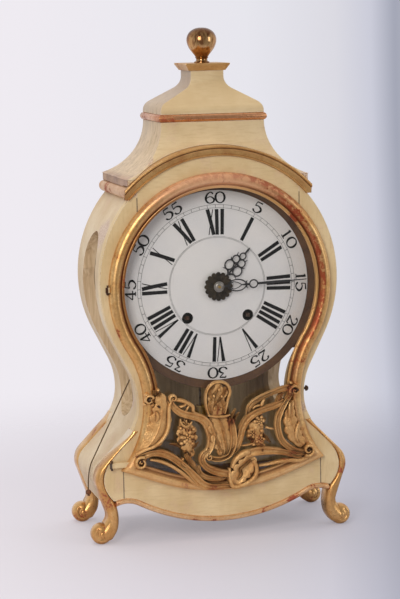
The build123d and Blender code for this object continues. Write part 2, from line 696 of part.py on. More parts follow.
def run_moulding(edges, start, ahead, inward, width):
    """The door's moulding run along a path of front-view edges."""
    path = Wire([front_view(DOOR_BACK_Y) * edge for edge in edges])
    place = Plane((start.X, DOOR_BACK_Y, start.Y), x_dir=(inward.X, 0, inward.Y), z_dir=(ahead.X, 0, ahead.Y))
    return sweep(place * moulding_profile(width), path=path)


def make_door():
    """The glazed door: hoop and sill mouldings mitred at the tips, glass, openwork and fittings."""
    parts = {}
    crown, spring, tip, turn, lowest = door_points(0, 0)
    inner_tip = door_points(DOOR_FRAME_W, SILL_W)[2]
    left = [Vector(-point.X, point.Y) for point in (crown, spring, tip, turn)]
    past = DOOR_FRAME_W
    fall = (tip - DOOR_WAIST_C).normalized()
    out = Vector(-fall.Y, fall.X)
    start = tip + out * past
    hoop_path = [
        Line(start, tip),
        round_run(DOOR_WAIST_C, tip, spring),
        ThreePointArc(spring, crown, left[1]),
        round_run(Vector(-DOOR_WAIST_C.X, WAIST_Z), left[1], left[2]),
        Line(left[2], Vector(-start.X, start.Y)),
    ]
    hoop = run_moulding(hoop_path, start, out * -1, fall, DOOR_FRAME_W)
    sill_end = tip + SILL_SLOPE * past
    sill_path = [
        Line(Vector(-sill_end.X, sill_end.Y), left[3]),
        ThreePointArc(left[3], lowest, turn),
        Line(turn, sill_end),
    ]
    ahead = Vector(SILL_SLOPE.X, -SILL_SLOPE.Y)
    inward = Vector(SILL_SLOPE.Y, SILL_SLOPE.X)
    sill = run_moulding(sill_path, Vector(-sill_end.X, sill_end.Y), ahead, inward, SILL_W)
    mitre = (tip - inner_tip).normalized()
    far_tip, near_tip = tip + mitre * past, inner_tip - mitre * past
    below = make_face([
        Line((-far_tip.X, far_tip.Y), (-near_tip.X, near_tip.Y)),
        Line((-near_tip.X, near_tip.Y), (near_tip.X, near_tip.Y)),
        Line((near_tip.X, near_tip.Y), (far_tip.X, far_tip.Y)),
        Line((far_tip.X, far_tip.Y), (far_tip.X, 0)),
        Line((far_tip.X, 0), (-far_tip.X, 0)),
        Line((-far_tip.X, 0), (-far_tip.X, far_tip.Y)),
    ])
    cutter = boarded(below, DOOR_FRONT_Y - 1, DOOR_BACK_Y + 1)
    pane_gap = DOOR_FRAME_W - GLASS_REBATE
    sill_gap = SILL_W - GLASS_REBATE
    pocket = boarded(door_face(pane_gap, sill_gap), GLASS_FRONT_Y, DOOR_BACK_Y + 1)
    hoop = hoop - cutter - pocket
    sill = (sill & cutter) - pocket
    eyes = None
    for height, tail in zip(HINGE_HEIGHTS, HINGE_TAILS):
        eye = hinge_eye(height, tail)
        eyes = eye if eyes is None else eyes + eye
        eye_room = Cylinder(HINGE_EYE_R + FREE_GAP, 2 * HINGE_PIN_H)
        room = Pos(HINGE_X, HINGE_Y, height + HINGE_PIN_H / 2) * eye_room
        hoop = hoop - eye - room
    tongue_x = WAIST_HALF_WIDTH - TONGUE_SETBACK
    tongue = block(tongue_x, tongue_x + TONGUE_T, GLASS_BACK_Y, FRONT_Y + TONGUE_REACH,
                   CATCH_Z - TONGUE_H / 2, CATCH_Z + TONGUE_H / 2)
    pane = door_face(pane_gap + GLUE_GAP, sill_gap + GLUE_GAP)
    parts["door_glass"] = boarded(pane, GLASS_FRONT_Y, GLASS_BACK_Y)
    parts["door_fittings"] = eyes + tongue
    parts.update(make_ornament())
    parts["door_hoop"] = hoop - parts["ornament_nails"]
    parts["door_sill"] = sill
    return parts


def hinge_eye(height, tail):
    """The eye on the door that turns on a hinge pin, with the tail that runs into the moulding."""
    middle = height + FREE_GAP + HINGE_EYE_H / 2
    eye = Pos(HINGE_X, HINGE_Y, middle) * Cylinder(HINGE_EYE_R, HINGE_EYE_H)
    eye += block(HINGE_X, HINGE_X + tail, HINGE_Y - HINGE_TAIL_T / 2, HINGE_Y + HINGE_TAIL_T / 2,
                 height + FREE_GAP, height + FREE_GAP + HINGE_EYE_H)
    return eye - Pos(HINGE_X, HINGE_Y, middle) * Cylinder(HINGE_PIN_R + FIT, 2 * HINGE_EYE_H)


def tapering_scroll(points, widths):
    """A carved strip along a line of points, with a width at each of them."""
    spine = Spline(*points)
    left, right = [], []
    for point, width in zip(points, widths):
        at = spine.param_at_point(point)
        ahead = spine.tangent_at(at)
        side = Vector(-ahead.Y, ahead.X) * (width / 2)
        left.append(Vector(*point) + side)
        right.append(Vector(*point) - side)
    return make_face([
        Spline(*left),
        Line(left[-1], right[-1]),
        Spline(*reversed(right)),
        Line(right[0], left[0]),
    ])


def make_ornament():
    """The carved openwork in front of the glass, and the nails that hold it."""
    carving = None
    for points, widths in SCROLLS:
        line = [(x * CARVING_GRID, z * CARVING_GRID) for x, z in points]
        piece = tapering_scroll(line, [width * CARVING_GRID for width in widths])
        carving = piece if carving is None else carving + piece
    for x, z, radius in VOLUTES:
        carving += Pos(x * CARVING_GRID, z * CARVING_GRID) * Circle(radius * CARVING_GRID)
    front = FRONT_Y - NOSE
    inside = door_face(CARVING_MARGIN, CARVING_MARGIN)
    ornament = boarded(carving & inside, front, DOOR_FRONT_Y - GLUE_GAP)
    nails = None
    for x, z in NAILS:
        nail = turned([(front, front + NAIL_LENGTH, NAIL_R)], (x * CARVING_GRID, z * CARVING_GRID))
        nails = nail if nails is None else nails + nail
    return {"door_ornament": ornament - nails, "ornament_nails": nails}


def make_hinge_pins():
    """The two hinge pins on their wire arms."""
    pins = None
    for height in HINGE_HEIGHTS:
        low = height - 2 * HINGE_PIN_R
        pin = Pos(HINGE_X, HINGE_Y, (low + height + HINGE_PIN_H) / 2) * Cylinder(
            HINGE_PIN_R, HINGE_PIN_H + 2 * HINGE_PIN_R)
        pin += hinge_arm(height)
        pins = pin if pins is None else pins + pin
    return pins


def make_catch():
    """The push button that stands out of the right stile at the waist."""
    along_x = Plane((0, FRONT_Y + CATCH_BACK, CATCH_Z), z_dir=(1, 0, 0))
    inner = DOOR_WAIST_HALF_WIDTH - DOOR_OVERLAP - FREE_GAP
    outer = WAIST_HALF_WIDTH + CATCH_TRAVEL + CATCH_CLEAR
    shaft = extrude(along_x.offset(inner) * Circle(CATCH_SHAFT_R), amount=outer - inner)
    head = Pos(outer, FRONT_Y + CATCH_BACK, CATCH_Z) * Sphere(CATCH_HEAD_R)
    head &= block(outer, outer + CATCH_HEAD_R, FRONT_Y - FRONT_BOARD_T, REAR_Y,
                  CATCH_Z - 2 * CATCH_HEAD_R, CATCH_Z + 2 * CATCH_HEAD_R)
    collar = extrude(along_x.offset(inner - CATCH_COLLAR_T) * Circle(CATCH_COLLAR_R), amount=CATCH_COLLAR_T)
    return shaft + head + collar


# ================================================================ roof
def hipped(front_edges, side_edges):
    """A hipped solid: where a front profile run along Y meets a side profile run along X."""
    reach = 2 * BULGE_R
    front = extrude(front_view(MIDDLE_Y) * both_sides(front_edges), amount=reach, both=True)
    side = extrude(SIDE_VIEW * both_sides(side_edges), amount=reach, both=True)
    return front & side


def cove_edges(top_half, radius, shrink):
    """Half profile of the hollow-curved roof, from its foot up."""
    centre = Vector(top_half + radius, ROOF_BEAD_Z)
    foot = Vector(centre.X - math.sqrt(radius ** 2 - COVE_H ** 2) - shrink, COVE_Z)
    top = Vector(top_half - shrink, ROOF_BEAD_Z)
    return [round_run(centre - Vector(shrink, 0), foot, top)]


def straight_edges(half, low, high):
    """Half profile of an upright block."""
    return [Line((half, low), (half, high))]


def bell_edges(half, neck_half, shrink):
    """Half profile of the upper roof: a round shoulder, a sloping run and a hollow neck."""
    base = ROOF_BELL_Z
    shoulder = Vector(half - SHOULDER_R, base + SHOULDER_RISE)
    neck = Vector(neck_half + NECK_R, base + NECK_RISE)
    out, back = cross_tangent(shoulder, SHOULDER_R, neck, NECK_R, -1)
    lift = Vector(-shrink, 0)
    return [
        Line(Vector(half, base) + lift, Vector(half, shoulder.Y) + lift),
        round_run(shoulder + lift, Vector(half, shoulder.Y) + lift, out + lift),
        Line(out + lift, back + lift),
        round_run(neck + lift, back + lift, Vector(neck_half, neck.Y) + lift),
        Line(Vector(neck_half, neck.Y) + lift, Vector(neck_half, SLAB_Z) + lift),
    ]


def slab_edges(half):
    """Half profile of the flared cap."""
    return [
        Line((half - SLAB_FLARE, SLAB_Z), (half, FINIAL_Z - SLAB_LIP_H)),
        Line((half, FINIAL_Z - SLAB_LIP_H), (half, FINIAL_Z)),
    ]


def make_roof():
    """The roof, which lifts off, from its fascia to its finial."""
    parts = {}
    hollow_front = FRONT_Y + ARCH_DEPTH + ROOF_WALL / 2
    behind = block(-BULGE_R, BULGE_R, hollow_front, REAR_Y, CASE_TOP_Z, FINIAL_Z)
    barrel = boarded(Pos(0, ARCH_Z) * Circle(ARCH_R + ARCH_H + FREE_GAP), FRONT_Y - NOSE,
                     FRONT_Y + ARCH_DEPTH + FREE_GAP)
    fascia = hipped(straight_edges(FASCIA_HALF_WIDTH, CORNICE_TOP_Z, COVE_Z),
                    straight_edges(FASCIA_HALF_DEPTH, CORNICE_TOP_Z, COVE_Z))
    fascia_room = hipped(straight_edges(FASCIA_HALF_WIDTH - 2 * ROOF_WALL, CORNICE_TOP_Z, COVE_Z),
                         straight_edges(FASCIA_HALF_DEPTH - 2 * ROOF_WALL, CORNICE_TOP_Z, COVE_Z))
    parts["roof_fascia"] = fascia - barrel - (fascia_room & behind)
    cove = hipped(cove_edges(COVE_TOP_HALF_WIDTH, COVE_FRONT_R, 0),
                  cove_edges(COVE_TOP_HALF_DEPTH, COVE_SIDE_R, 0))
    cove_room = hipped(cove_edges(COVE_TOP_HALF_WIDTH, COVE_FRONT_R, ROOF_WALL),
                       cove_edges(COVE_TOP_HALF_DEPTH, COVE_SIDE_R, ROOF_WALL))
    parts["roof_cove"] = cove - barrel - (cove_room & behind)
    half_w, half_d = COVE_TOP_HALF_WIDTH + ROOF_BEAD_PROUD, COVE_TOP_HALF_DEPTH + ROOF_BEAD_PROUD
    bead = hipped(straight_edges(half_w, ROOF_BEAD_Z, ROOF_BELL_Z),
                  straight_edges(half_d, ROOF_BEAD_Z, ROOF_BELL_Z))
    rims = bead.edges().filter_by(lambda edge: abs((edge @ 0).Z - (edge @ 1).Z) < GLUE_GAP)
    bead = fillet(rims, 0.47 * ROOF_BEAD_H)
    bead_room = hipped(straight_edges(COVE_TOP_HALF_WIDTH - 2 * ROOF_WALL, ROOF_BEAD_Z, ROOF_BELL_Z),
                       straight_edges(COVE_TOP_HALF_DEPTH - 2 * ROOF_WALL, ROOF_BEAD_Z, ROOF_BELL_Z))
    parts["roof_bead"] = bead - bead_room
    parts["roof_bell"] = hipped(bell_edges(COVE_TOP_HALF_WIDTH, NECK_HALF_WIDTH, 0),
                                bell_edges(COVE_TOP_HALF_DEPTH, NECK_HALF_DEPTH, 0))
    parts["cap_slab"] = hipped(slab_edges(SLAB_HALF_WIDTH), slab_edges(SLAB_HALF_DEPTH))
    parts["finial"] = make_finial()
    return parts


def make_finial():
    """The turned ball finial on its short neck."""
    top = FINIAL_Z + FINIAL_H
    ball_z = top - FINIAL_R
    neck_z = FINIAL_Z + FINIAL_NECK_H
    profile = make_face([
        Line((0, FINIAL_Z), (FINIAL_RING_R, FINIAL_Z)),
        Line((FINIAL_RING_R, FINIAL_Z), (FINIAL_NECK_R, FINIAL_Z + FINIAL_RING_H)),
        Line((FINIAL_NECK_R, FINIAL_Z + FINIAL_RING_H), (FINIAL_NECK_R, neck_z)),
        Spline((FINIAL_NECK_R, neck_z), (0.86 * FINIAL_R, ball_z - 0.5 * FINIAL_R), (FINIAL_R, ball_z),
               tangents=[(1, 1), (0, 1)]),
        round_run(Vector(0, ball_z), Vector(FINIAL_R, ball_z), Vector(0, top)),
        Line((0, top), (0, FINIAL_Z)),
    ])
    return Pos(0, MIDDLE_Y, 0) * revolve(Plane.XZ * profile, Axis.Z)


# ================================================================ gears
def toothed(teeth, module, tips, waists, roots, addendum, towards):
    """Outline of a gear: half widths of a tooth at tip, pitch and root, as shares of a quarter pitch."""
    pitch_r = teeth * module / 2
    quarter = math.pi / (2 * teeth)
    steps = [(pitch_r - 1.25 * module, -roots), (pitch_r, -waists), (pitch_r + addendum * module, -tips),
             (pitch_r + addendum * module, tips), (pitch_r, waists), (pitch_r - 1.25 * module, roots)]
    points = []
    for number in range(teeth):
        lead = towards + 4 * quarter * number
        for radius, share in steps:
            turn = lead + share * quarter
            points.append((radius * math.cos(turn), radius * math.sin(turn)))
    return make_face(Polyline(*points, close=True))


def wheel_face(teeth, module, towards):
    """A wheel with a tooth pointing along the angle towards, in radians."""
    return toothed(teeth, module, 0.35, 0.6, 1.0, 0.85, towards)


def pinion_face(leaves, module, towards):
    """A pinion with a gap between two leaves facing the angle towards, in radians."""
    return toothed(leaves, module, 0.3, 0.5, 0.4, 0.6, towards + math.pi / leaves)


def bearing(start, end):
    """The angle of the line from one arbor to another, in radians."""
    gap = end - start
    return math.atan2(gap.Y, gap.X)


def placed(face, at, front, back):
    """A gear face made solid on its arbor."""
    return boarded(Pos(at.X, at.Y) * face, front, back)


def leaves(face, at, wheel_y):
    """A pinion that reaches a little past both faces of the wheel it meets."""
    return placed(face, at, wheel_y - PINION_LAP, wheel_y + WHEEL_T + PINION_LAP)


def crossings(at, hub_r, rim_r, spokes, front, back):
    """The windows between the spokes of a wheel."""
    ring = Circle(rim_r) - Circle(hub_r)
    bars = None
    for number in range(spokes):
        bar = Rot(0, 0, 180 * number / spokes) * Rectangle(2 * rim_r, SPOKE_W)
        bars = bar if bars is None else bars + bar
    return placed(ring - bars, at, front, back)


# ================================================================ movement
CENTRE_AT = Vector(0, DIAL_Z)
GOING_AT = Vector(WINDING_X, DIAL_Z - WINDING_DROP)
STRIKE_AT = Vector(-WINDING_X, DIAL_Z - WINDING_DROP)
INTERMEDIATE_AT = circles_meet(
    GOING_AT, BARREL_MODULE * (BARREL_TEETH + INTERMEDIATE_LEAVES) / 2,
    CENTRE_AT, INTERMEDIATE_MODULE * (INTERMEDIATE_TEETH + CENTRE_LEAVES) / 2, -1)
THIRD_REACH = CENTRE_MODULE * (CENTRE_TEETH + THIRD_LEAVES) / 2
THIRD_AT = CENTRE_AT + Vector(THIRD_REACH, 0).rotate(Axis.Z, THIRD_LEAN_DEG)
ESCAPE_REACH = THIRD_MODULE * (THIRD_TEETH + ESCAPE_LEAVES) / 2
ESCAPE_AT = Vector(0, THIRD_AT.Y + math.sqrt(ESCAPE_REACH ** 2 - THIRD_AT.X ** 2))
PALLET_AT = Vector(0, ESCAPE_AT.Y + PALLET_RISE)
MINUTE_REACH = MOTION_MODULE * (CANNON_LEAVES + MINUTE_TEETH) / 2
MINUTE_AT = CENTRE_AT + Vector(0, MINUTE_REACH)
HOUR_MODULE = 2 * MINUTE_REACH / (MINUTE_LEAVES + HOUR_TEETH)
BEATS_PER_HOUR = 2 * ESCAPE_TEETH * (CENTRE_TEETH / THIRD_LEAVES) * (THIRD_TEETH / ESCAPE_LEAVES)
SWING_SECONDS = 2 * 3600 / BEATS_PER_HOUR
PENDULUM_LENGTH = GRAVITY * (SWING_SECONDS / (2 * math.pi)) ** 2

BACK_PIVOT_Y = BACK_PLATE_Y + PLATE_T
BARREL_WHEEL_Y = BARREL_Y + BARREL_LENGTH + GREAT_WHEEL_STEP
INTERMEDIATE_WHEEL_Y = BETWEEN_Y + INTERMEDIATE_STEP
CENTRE_WHEEL_Y = BACK_PLATE_Y - CENTRE_STEP
THIRD_WHEEL_Y = CENTRE_WHEEL_Y - THIRD_STEP
ESCAPE_WHEEL_Y = THIRD_WHEEL_Y - ESCAPE_STEP
CANNON_Y = FRONT_PLATE_Y - CANNON_STEP
MINUTE_PINION_Y = CANNON_Y - MINUTE_PINION_L
HOUR_WHEEL_Y = CANNON_Y - HOUR_WHEEL_STEP
HOUR_HAND_Y = DIAL_CREST_Y - HAND_CLEAR
ROSETTE_Y = HOUR_HAND_Y - HAND_T - ROSETTE_CLEAR
MINUTE_HAND_Y = ROSETTE_Y - HAND_T - MINUTE_HAND_CLEAR
NUT_Y = MINUTE_HAND_Y - NUT_H
ARBOR_END_Y = NUT_Y - ARBOR_TIP


def make_barrel(at):
    """A spring barrel: a closed drum with its great wheel at the back."""
    drum = turned([(BARREL_Y, BARREL_WHEEL_Y + WHEEL_T, BARREL_R)], (at.X, at.Y), WINDING_ARBOR_R + FIT)
    inside = (BARREL_Y + BARREL_WALL, BARREL_WHEEL_Y - BARREL_WALL, BARREL_R - BARREL_WALL)
    room = turned([inside], (at.X, at.Y))
    wheel = placed(wheel_face(BARREL_TEETH, BARREL_MODULE, bearing(GOING_AT, INTERMEDIATE_AT)), at,
                   BARREL_WHEEL_Y, BARREL_WHEEL_Y + WHEEL_T)
    bore = turned([(BARREL_WHEEL_Y - 1, BARREL_WHEEL_Y + WHEEL_T + 1, WINDING_ARBOR_R + FIT)], (at.X, at.Y))
    return drum - room + (wheel - bore)


def make_winding_arbor(at):
    """The arbor of a barrel, with a squared end for the key behind its hole in the dial."""
    square_back = FRONT_PLATE_Y - SQUARE_LAP
    drum_front, drum_back = BARREL_Y + BARREL_WALL, BARREL_WHEEL_Y - BARREL_WALL
    arbor = turned([
        (square_back, BACK_PIVOT_Y, WINDING_ARBOR_R),
        (drum_front + ARBOR_TIP, drum_back - ARBOR_TIP, 2.5 * WINDING_ARBOR_R),
    ], (at.X, at.Y))
    square = Pos(at.X, at.Y) * Rectangle(1.4 * WINDING_ARBOR_R, 1.4 * WINDING_ARBOR_R)
    return arbor + boarded(square, DIAL_CREST_Y + SQUARE_SETBACK, square_back)


def make_train():
    """The going train, from the barrel to the escape wheel, and the strike barrel."""
    parts = {}
    parts["going_barrel"] = make_barrel(GOING_AT)
    parts["strike_barrel"] = make_barrel(STRIKE_AT)
    parts["going_winding_arbor"] = make_winding_arbor(GOING_AT)
    parts["strike_winding_arbor"] = make_winding_arbor(STRIKE_AT)

    at, y = INTERMEDIATE_AT, INTERMEDIATE_WHEEL_Y
    face = wheel_face(INTERMEDIATE_TEETH, INTERMEDIATE_MODULE, bearing(at, CENTRE_AT))
    rim_r = INTERMEDIATE_MODULE * INTERMEDIATE_TEETH / 2 - RIM_W
    wheel = placed(face, at, y, y + WHEEL_T) - crossings(at, HUB_R, rim_r, 2, y, y + WHEEL_T)
    pinion = pinion_face(INTERMEDIATE_LEAVES, BARREL_MODULE, bearing(at, GOING_AT))
    staff = turned([(BETWEEN_Y + ARBOR_TIP, BACK_PLATE_Y - ARBOR_TIP, STAFF_R),
                    (FRONT_PLATE_Y, BACK_PIVOT_Y, PIVOT_R)], (at.X, at.Y))
    parts["intermediate_wheel"] = wheel + leaves(pinion, at, BARREL_WHEEL_Y) + staff

    at, y = CENTRE_AT, CENTRE_WHEEL_Y
    face = wheel_face(CENTRE_TEETH, CENTRE_MODULE, bearing(at, THIRD_AT))
    rim_r = CENTRE_MODULE * CENTRE_TEETH / 2 - RIM_W
    wheel = placed(face, at, y, y + WHEEL_T) - crossings(at, HUB_R, rim_r, 2, y, y + WHEEL_T)
    pinion = pinion_face(CENTRE_LEAVES, INTERMEDIATE_MODULE, bearing(at, INTERMEDIATE_AT))
    staff = turned([(ARBOR_END_Y, BACK_PIVOT_Y, ARBOR_R)], (at.X, at.Y))
    parts["centre_wheel"] = wheel + leaves(pinion, at, INTERMEDIATE_WHEEL_Y) + staff

    at, y = THIRD_AT, THIRD_WHEEL_Y
    face = wheel_face(THIRD_TEETH, THIRD_MODULE, bearing(at, ESCAPE_AT))
    rim_r = THIRD_MODULE * THIRD_TEETH / 2 - RIM_W
    wheel = placed(face, at, y, y + WHEEL_T) - crossings(at, THIRD_HUB_R, rim_r, 2, y, y + WHEEL_T)
    pinion = pinion_face(THIRD_LEAVES, CENTRE_MODULE, bearing(at, CENTRE_AT))
    staff = turned([(FRONT_PLATE_Y, BACK_PIVOT_Y, PIVOT_R)], (at.X, at.Y))
    parts["third_wheel"] = wheel + leaves(pinion, at, CENTRE_WHEEL_Y) + staff

    at, y = ESCAPE_AT, ESCAPE_WHEEL_Y
    pinion = pinion_face(ESCAPE_LEAVES, THIRD_MODULE, bearing(at, THIRD_AT))
    staff = turned([(FRONT_PLATE_Y, BACK_PIVOT_Y, PIVOT_R)], (at.X, at.Y))
    wheel = placed(escape_face(), at, y, y + WHEEL_T)
    parts["escape_wheel"] = wheel + leaves(pinion, at, THIRD_WHEEL_Y) + staff
    return parts


def escape_face():
    """The escape wheel: pointed raking teeth on a crossed-out rim."""
    root_r = 0.82 * ESCAPE_R
    pitch = 2 * math.pi / ESCAPE_TEETH
    points = []
    for number in range(ESCAPE_TEETH):
        lead = number * pitch
        for radius, share in ((root_r, -0.35), (ESCAPE_R, 0.0), (ESCAPE_R, 0.08), (root_r, 0.12)):
            turn = lead + share * pitch
            points.append((radius * math.cos(turn), radius * math.sin(turn)))
    face = make_face(Polyline(*points, close=True))
    ring = Circle(0.68 * ESCAPE_R) - Circle(0.28 * ESCAPE_R)
    bars = Rectangle(2 * ESCAPE_R, WHEEL_T) + Rot(0, 0, 90) * Rectangle(2 * ESCAPE_R, WHEEL_T)
    return face - (ring - bars)


def make_motion_work():
    """The hands and the wheels behind the dial that turn them."""
    parts = {}
    centre = (CENTRE_AT.X, CENTRE_AT.Y)
    up = bearing(CENTRE_AT, MINUTE_AT)
    leaf_face = pinion_face(CANNON_LEAVES, MOTION_MODULE, up)
    cannon = placed(leaf_face, CENTRE_AT, CANNON_Y, CANNON_Y + WHEEL_T)
    cannon += turned([(MINUTE_HAND_Y, CANNON_Y, CANNON_PIPE_R)], centre)
    bore = turned([(MINUTE_HAND_Y - 1, CANNON_Y + WHEEL_T + 1, ARBOR_R + FIT)], centre)
    parts["cannon_pinion"] = cannon - bore

    at = (MINUTE_AT.X, MINUTE_AT.Y)
    down = bearing(MINUTE_AT, CENTRE_AT)
    minute = placed(wheel_face(MINUTE_TEETH, MOTION_MODULE, down), MINUTE_AT, CANNON_Y, CANNON_Y + WHEEL_T)
    minute += placed(pinion_face(MINUTE_LEAVES, HOUR_MODULE, down), MINUTE_AT, MINUTE_PINION_Y, CANNON_Y)
    parts["minute_wheel"] = minute - turned([(MINUTE_PINION_Y - 1, CANNON_Y + WHEEL_T + 1, STUD_R + FIT)], at)

    hour = placed(wheel_face(HOUR_TEETH, HOUR_MODULE, up), CENTRE_AT, HOUR_WHEEL_Y, HOUR_WHEEL_Y + WHEEL_T)
    hour += turned([(ROSETTE_Y, HOUR_WHEEL_Y, HOUR_PIPE_R)], centre)
    bore = turned([(ROSETTE_Y - 1, HOUR_WHEEL_Y + WHEEL_T + 1, CANNON_PIPE_R + FIT)], centre)
    parts["hour_wheel"] = hour - bore

    parts["hour_hand"] = make_hand(hour_hand_face(), HOUR_HAND_DEG, HOUR_HAND_Y, HOUR_PIPE_R)
    parts["minute_hand"] = make_hand(minute_hand_face(), MINUTE_HAND_DEG, MINUTE_HAND_Y, CANNON_PIPE_R)
    rosette = Circle(ROSETTE_R)
    for number in range(ROSETTE_LOBES):
        turn = 2 * math.pi * number / ROSETTE_LOBES
        lobe_at = (ROSETTE_R * math.cos(turn), ROSETTE_R * math.sin(turn))
        rosette += Pos(*lobe_at) * Circle(ROSETTE_LOBE_R)
    parts["rosette"] = placed(rosette - Circle(HOUR_PIPE_R), CENTRE_AT, ROSETTE_Y, ROSETTE_Y + HAND_T)
    parts["hand_nut"] = turned([(NUT_Y, MINUTE_HAND_Y, NUT_R), (NUT_Y, MINUTE_HAND_Y - NUT_RIM_T, NUT_RIM_R)],
                               centre, ARBOR_R + FIT)
    return parts


def ring_face(x, out, radius):
    """A ring of the fretted hands."""
    return Pos(x, out) * (Circle(radius) - Circle(radius - HAND_WALL))


def oval_face(out, half):
    """An oval of the minute hand, from its half width and half height."""
    return Pos(0, out) * (Ellipse(*half) - Ellipse(half[0] - HAND_WALL, half[1] - HAND_WALL))


def hour_hand_face():
    """The fretted hour hand, pointing up from its boss."""
    tip = HOUR_HAND_LENGTH
    half = LEAF_HALF_WIDTH
    face = Circle(HOUR_BOSS_R) + band(-HAND_STEM_W / 2, HAND_STEM_W / 2, 0, 0.42 * tip)
    face += make_face(Polyline((-half, 0.8 * tip), (0, tip), (half, 0.8 * tip), (0, 0.74 * tip), close=True))
    for side in (-1, 1):
        face += ring_face((LARGE_RING_R - HAND_WALL / 2) * side, 0.46 * tip, LARGE_RING_R)
        face += ring_face((SMALL_RING_R - HAND_WALL / 2) * side, 0.625 * tip, SMALL_RING_R)
    face += ring_face(0, 0.75 * tip, SMALL_RING_R)
    return face


def minute_hand_face():
    """The fretted minute hand, pointing up from its boss."""
    tip = MINUTE_HAND_LENGTH
    root, end = BLADE_HALF_WIDTH, BLADE_TIP_HALF_WIDTH
    face = Circle(MINUTE_BOSS_R) + band(-HAND_WALL, HAND_WALL, 0, 0.2 * tip)
    face += oval_face(0.235 * tip, MINUTE_OVAL) + oval_face(0.235 * tip, MINUTE_HEART)
    face += band(-HAND_WALL, HAND_WALL, 0.305 * tip, 0.36 * tip) + oval_face(0.40 * tip, MINUTE_EYE)
    face += make_face(Polyline((-root, 0.44 * tip), (-end, tip), (end, tip), (root, 0.44 * tip), close=True))
    return face


def make_hand(face, clock_deg, y, bore):
    """A hand turned to its place on the dial, with a hole for its pipe."""
    return placed(Rot(0, 0, -clock_deg) * (face - Circle(bore)), CENTRE_AT, y, y + HAND_T)


def dial_depth(radius):
    """How far the dial's face lies behind its crest, at a radius."""
    return DIAL_DOME * (radius / DIAL_R) ** 2


def make_dial():
    """The domed enamel dial on its feet, and the ring that it is set on."""
    half = DIAL_R / 2
    profile = make_face([
        ThreePointArc((0, 0), (half, dial_depth(half)), (DIAL_R, DIAL_DOME)),
        Line((DIAL_R, DIAL_DOME), (DIAL_R, DIAL_DOME + DIAL_T)),
        ThreePointArc((DIAL_R, DIAL_DOME + DIAL_T), (half, dial_depth(half) + DIAL_T), (0, DIAL_T)),
        Line((0, DIAL_T), (0, 0)),
    ])
    dial = Pos(0, DIAL_CREST_Y, DIAL_Z) * revolve(profile, Axis.Y)
    for at, radius in ((CENTRE_AT, DIAL_HOLE_R), (GOING_AT, WINDING_HOLE_R), (STRIKE_AT, WINDING_HOLE_R)):
        dial -= turned([(FRONT_Y, FRONT_PLATE_Y, radius)], (at.X, at.Y))
    foot_y = DIAL_CREST_Y + dial_depth(math.hypot(DIAL_FOOT_REACH, DIAL_FOOT_REACH)) + DIAL_T / 2
    for x in (-DIAL_FOOT_REACH, DIAL_FOOT_REACH):
        for z in (DIAL_Z - DIAL_FOOT_REACH, DIAL_Z + DIAL_FOOT_REACH):
            dial += turned([(foot_y, FRONT_PLATE_Y, DIAL_FOOT_R)], (x, z))
    ring_y = DIAL_CREST_Y + DIAL_DOME + DIAL_T
    ring_back = FRONT_Y + ARCH_DEPTH - FREE_GAP
    ring = turned([(ring_y, ring_back, DIAL_RING_R)], (CENTRE_AT.X, CENTRE_AT.Y), DIAL_RING_BORE_R)
    return {"dial": dial, "dial_ring": ring}


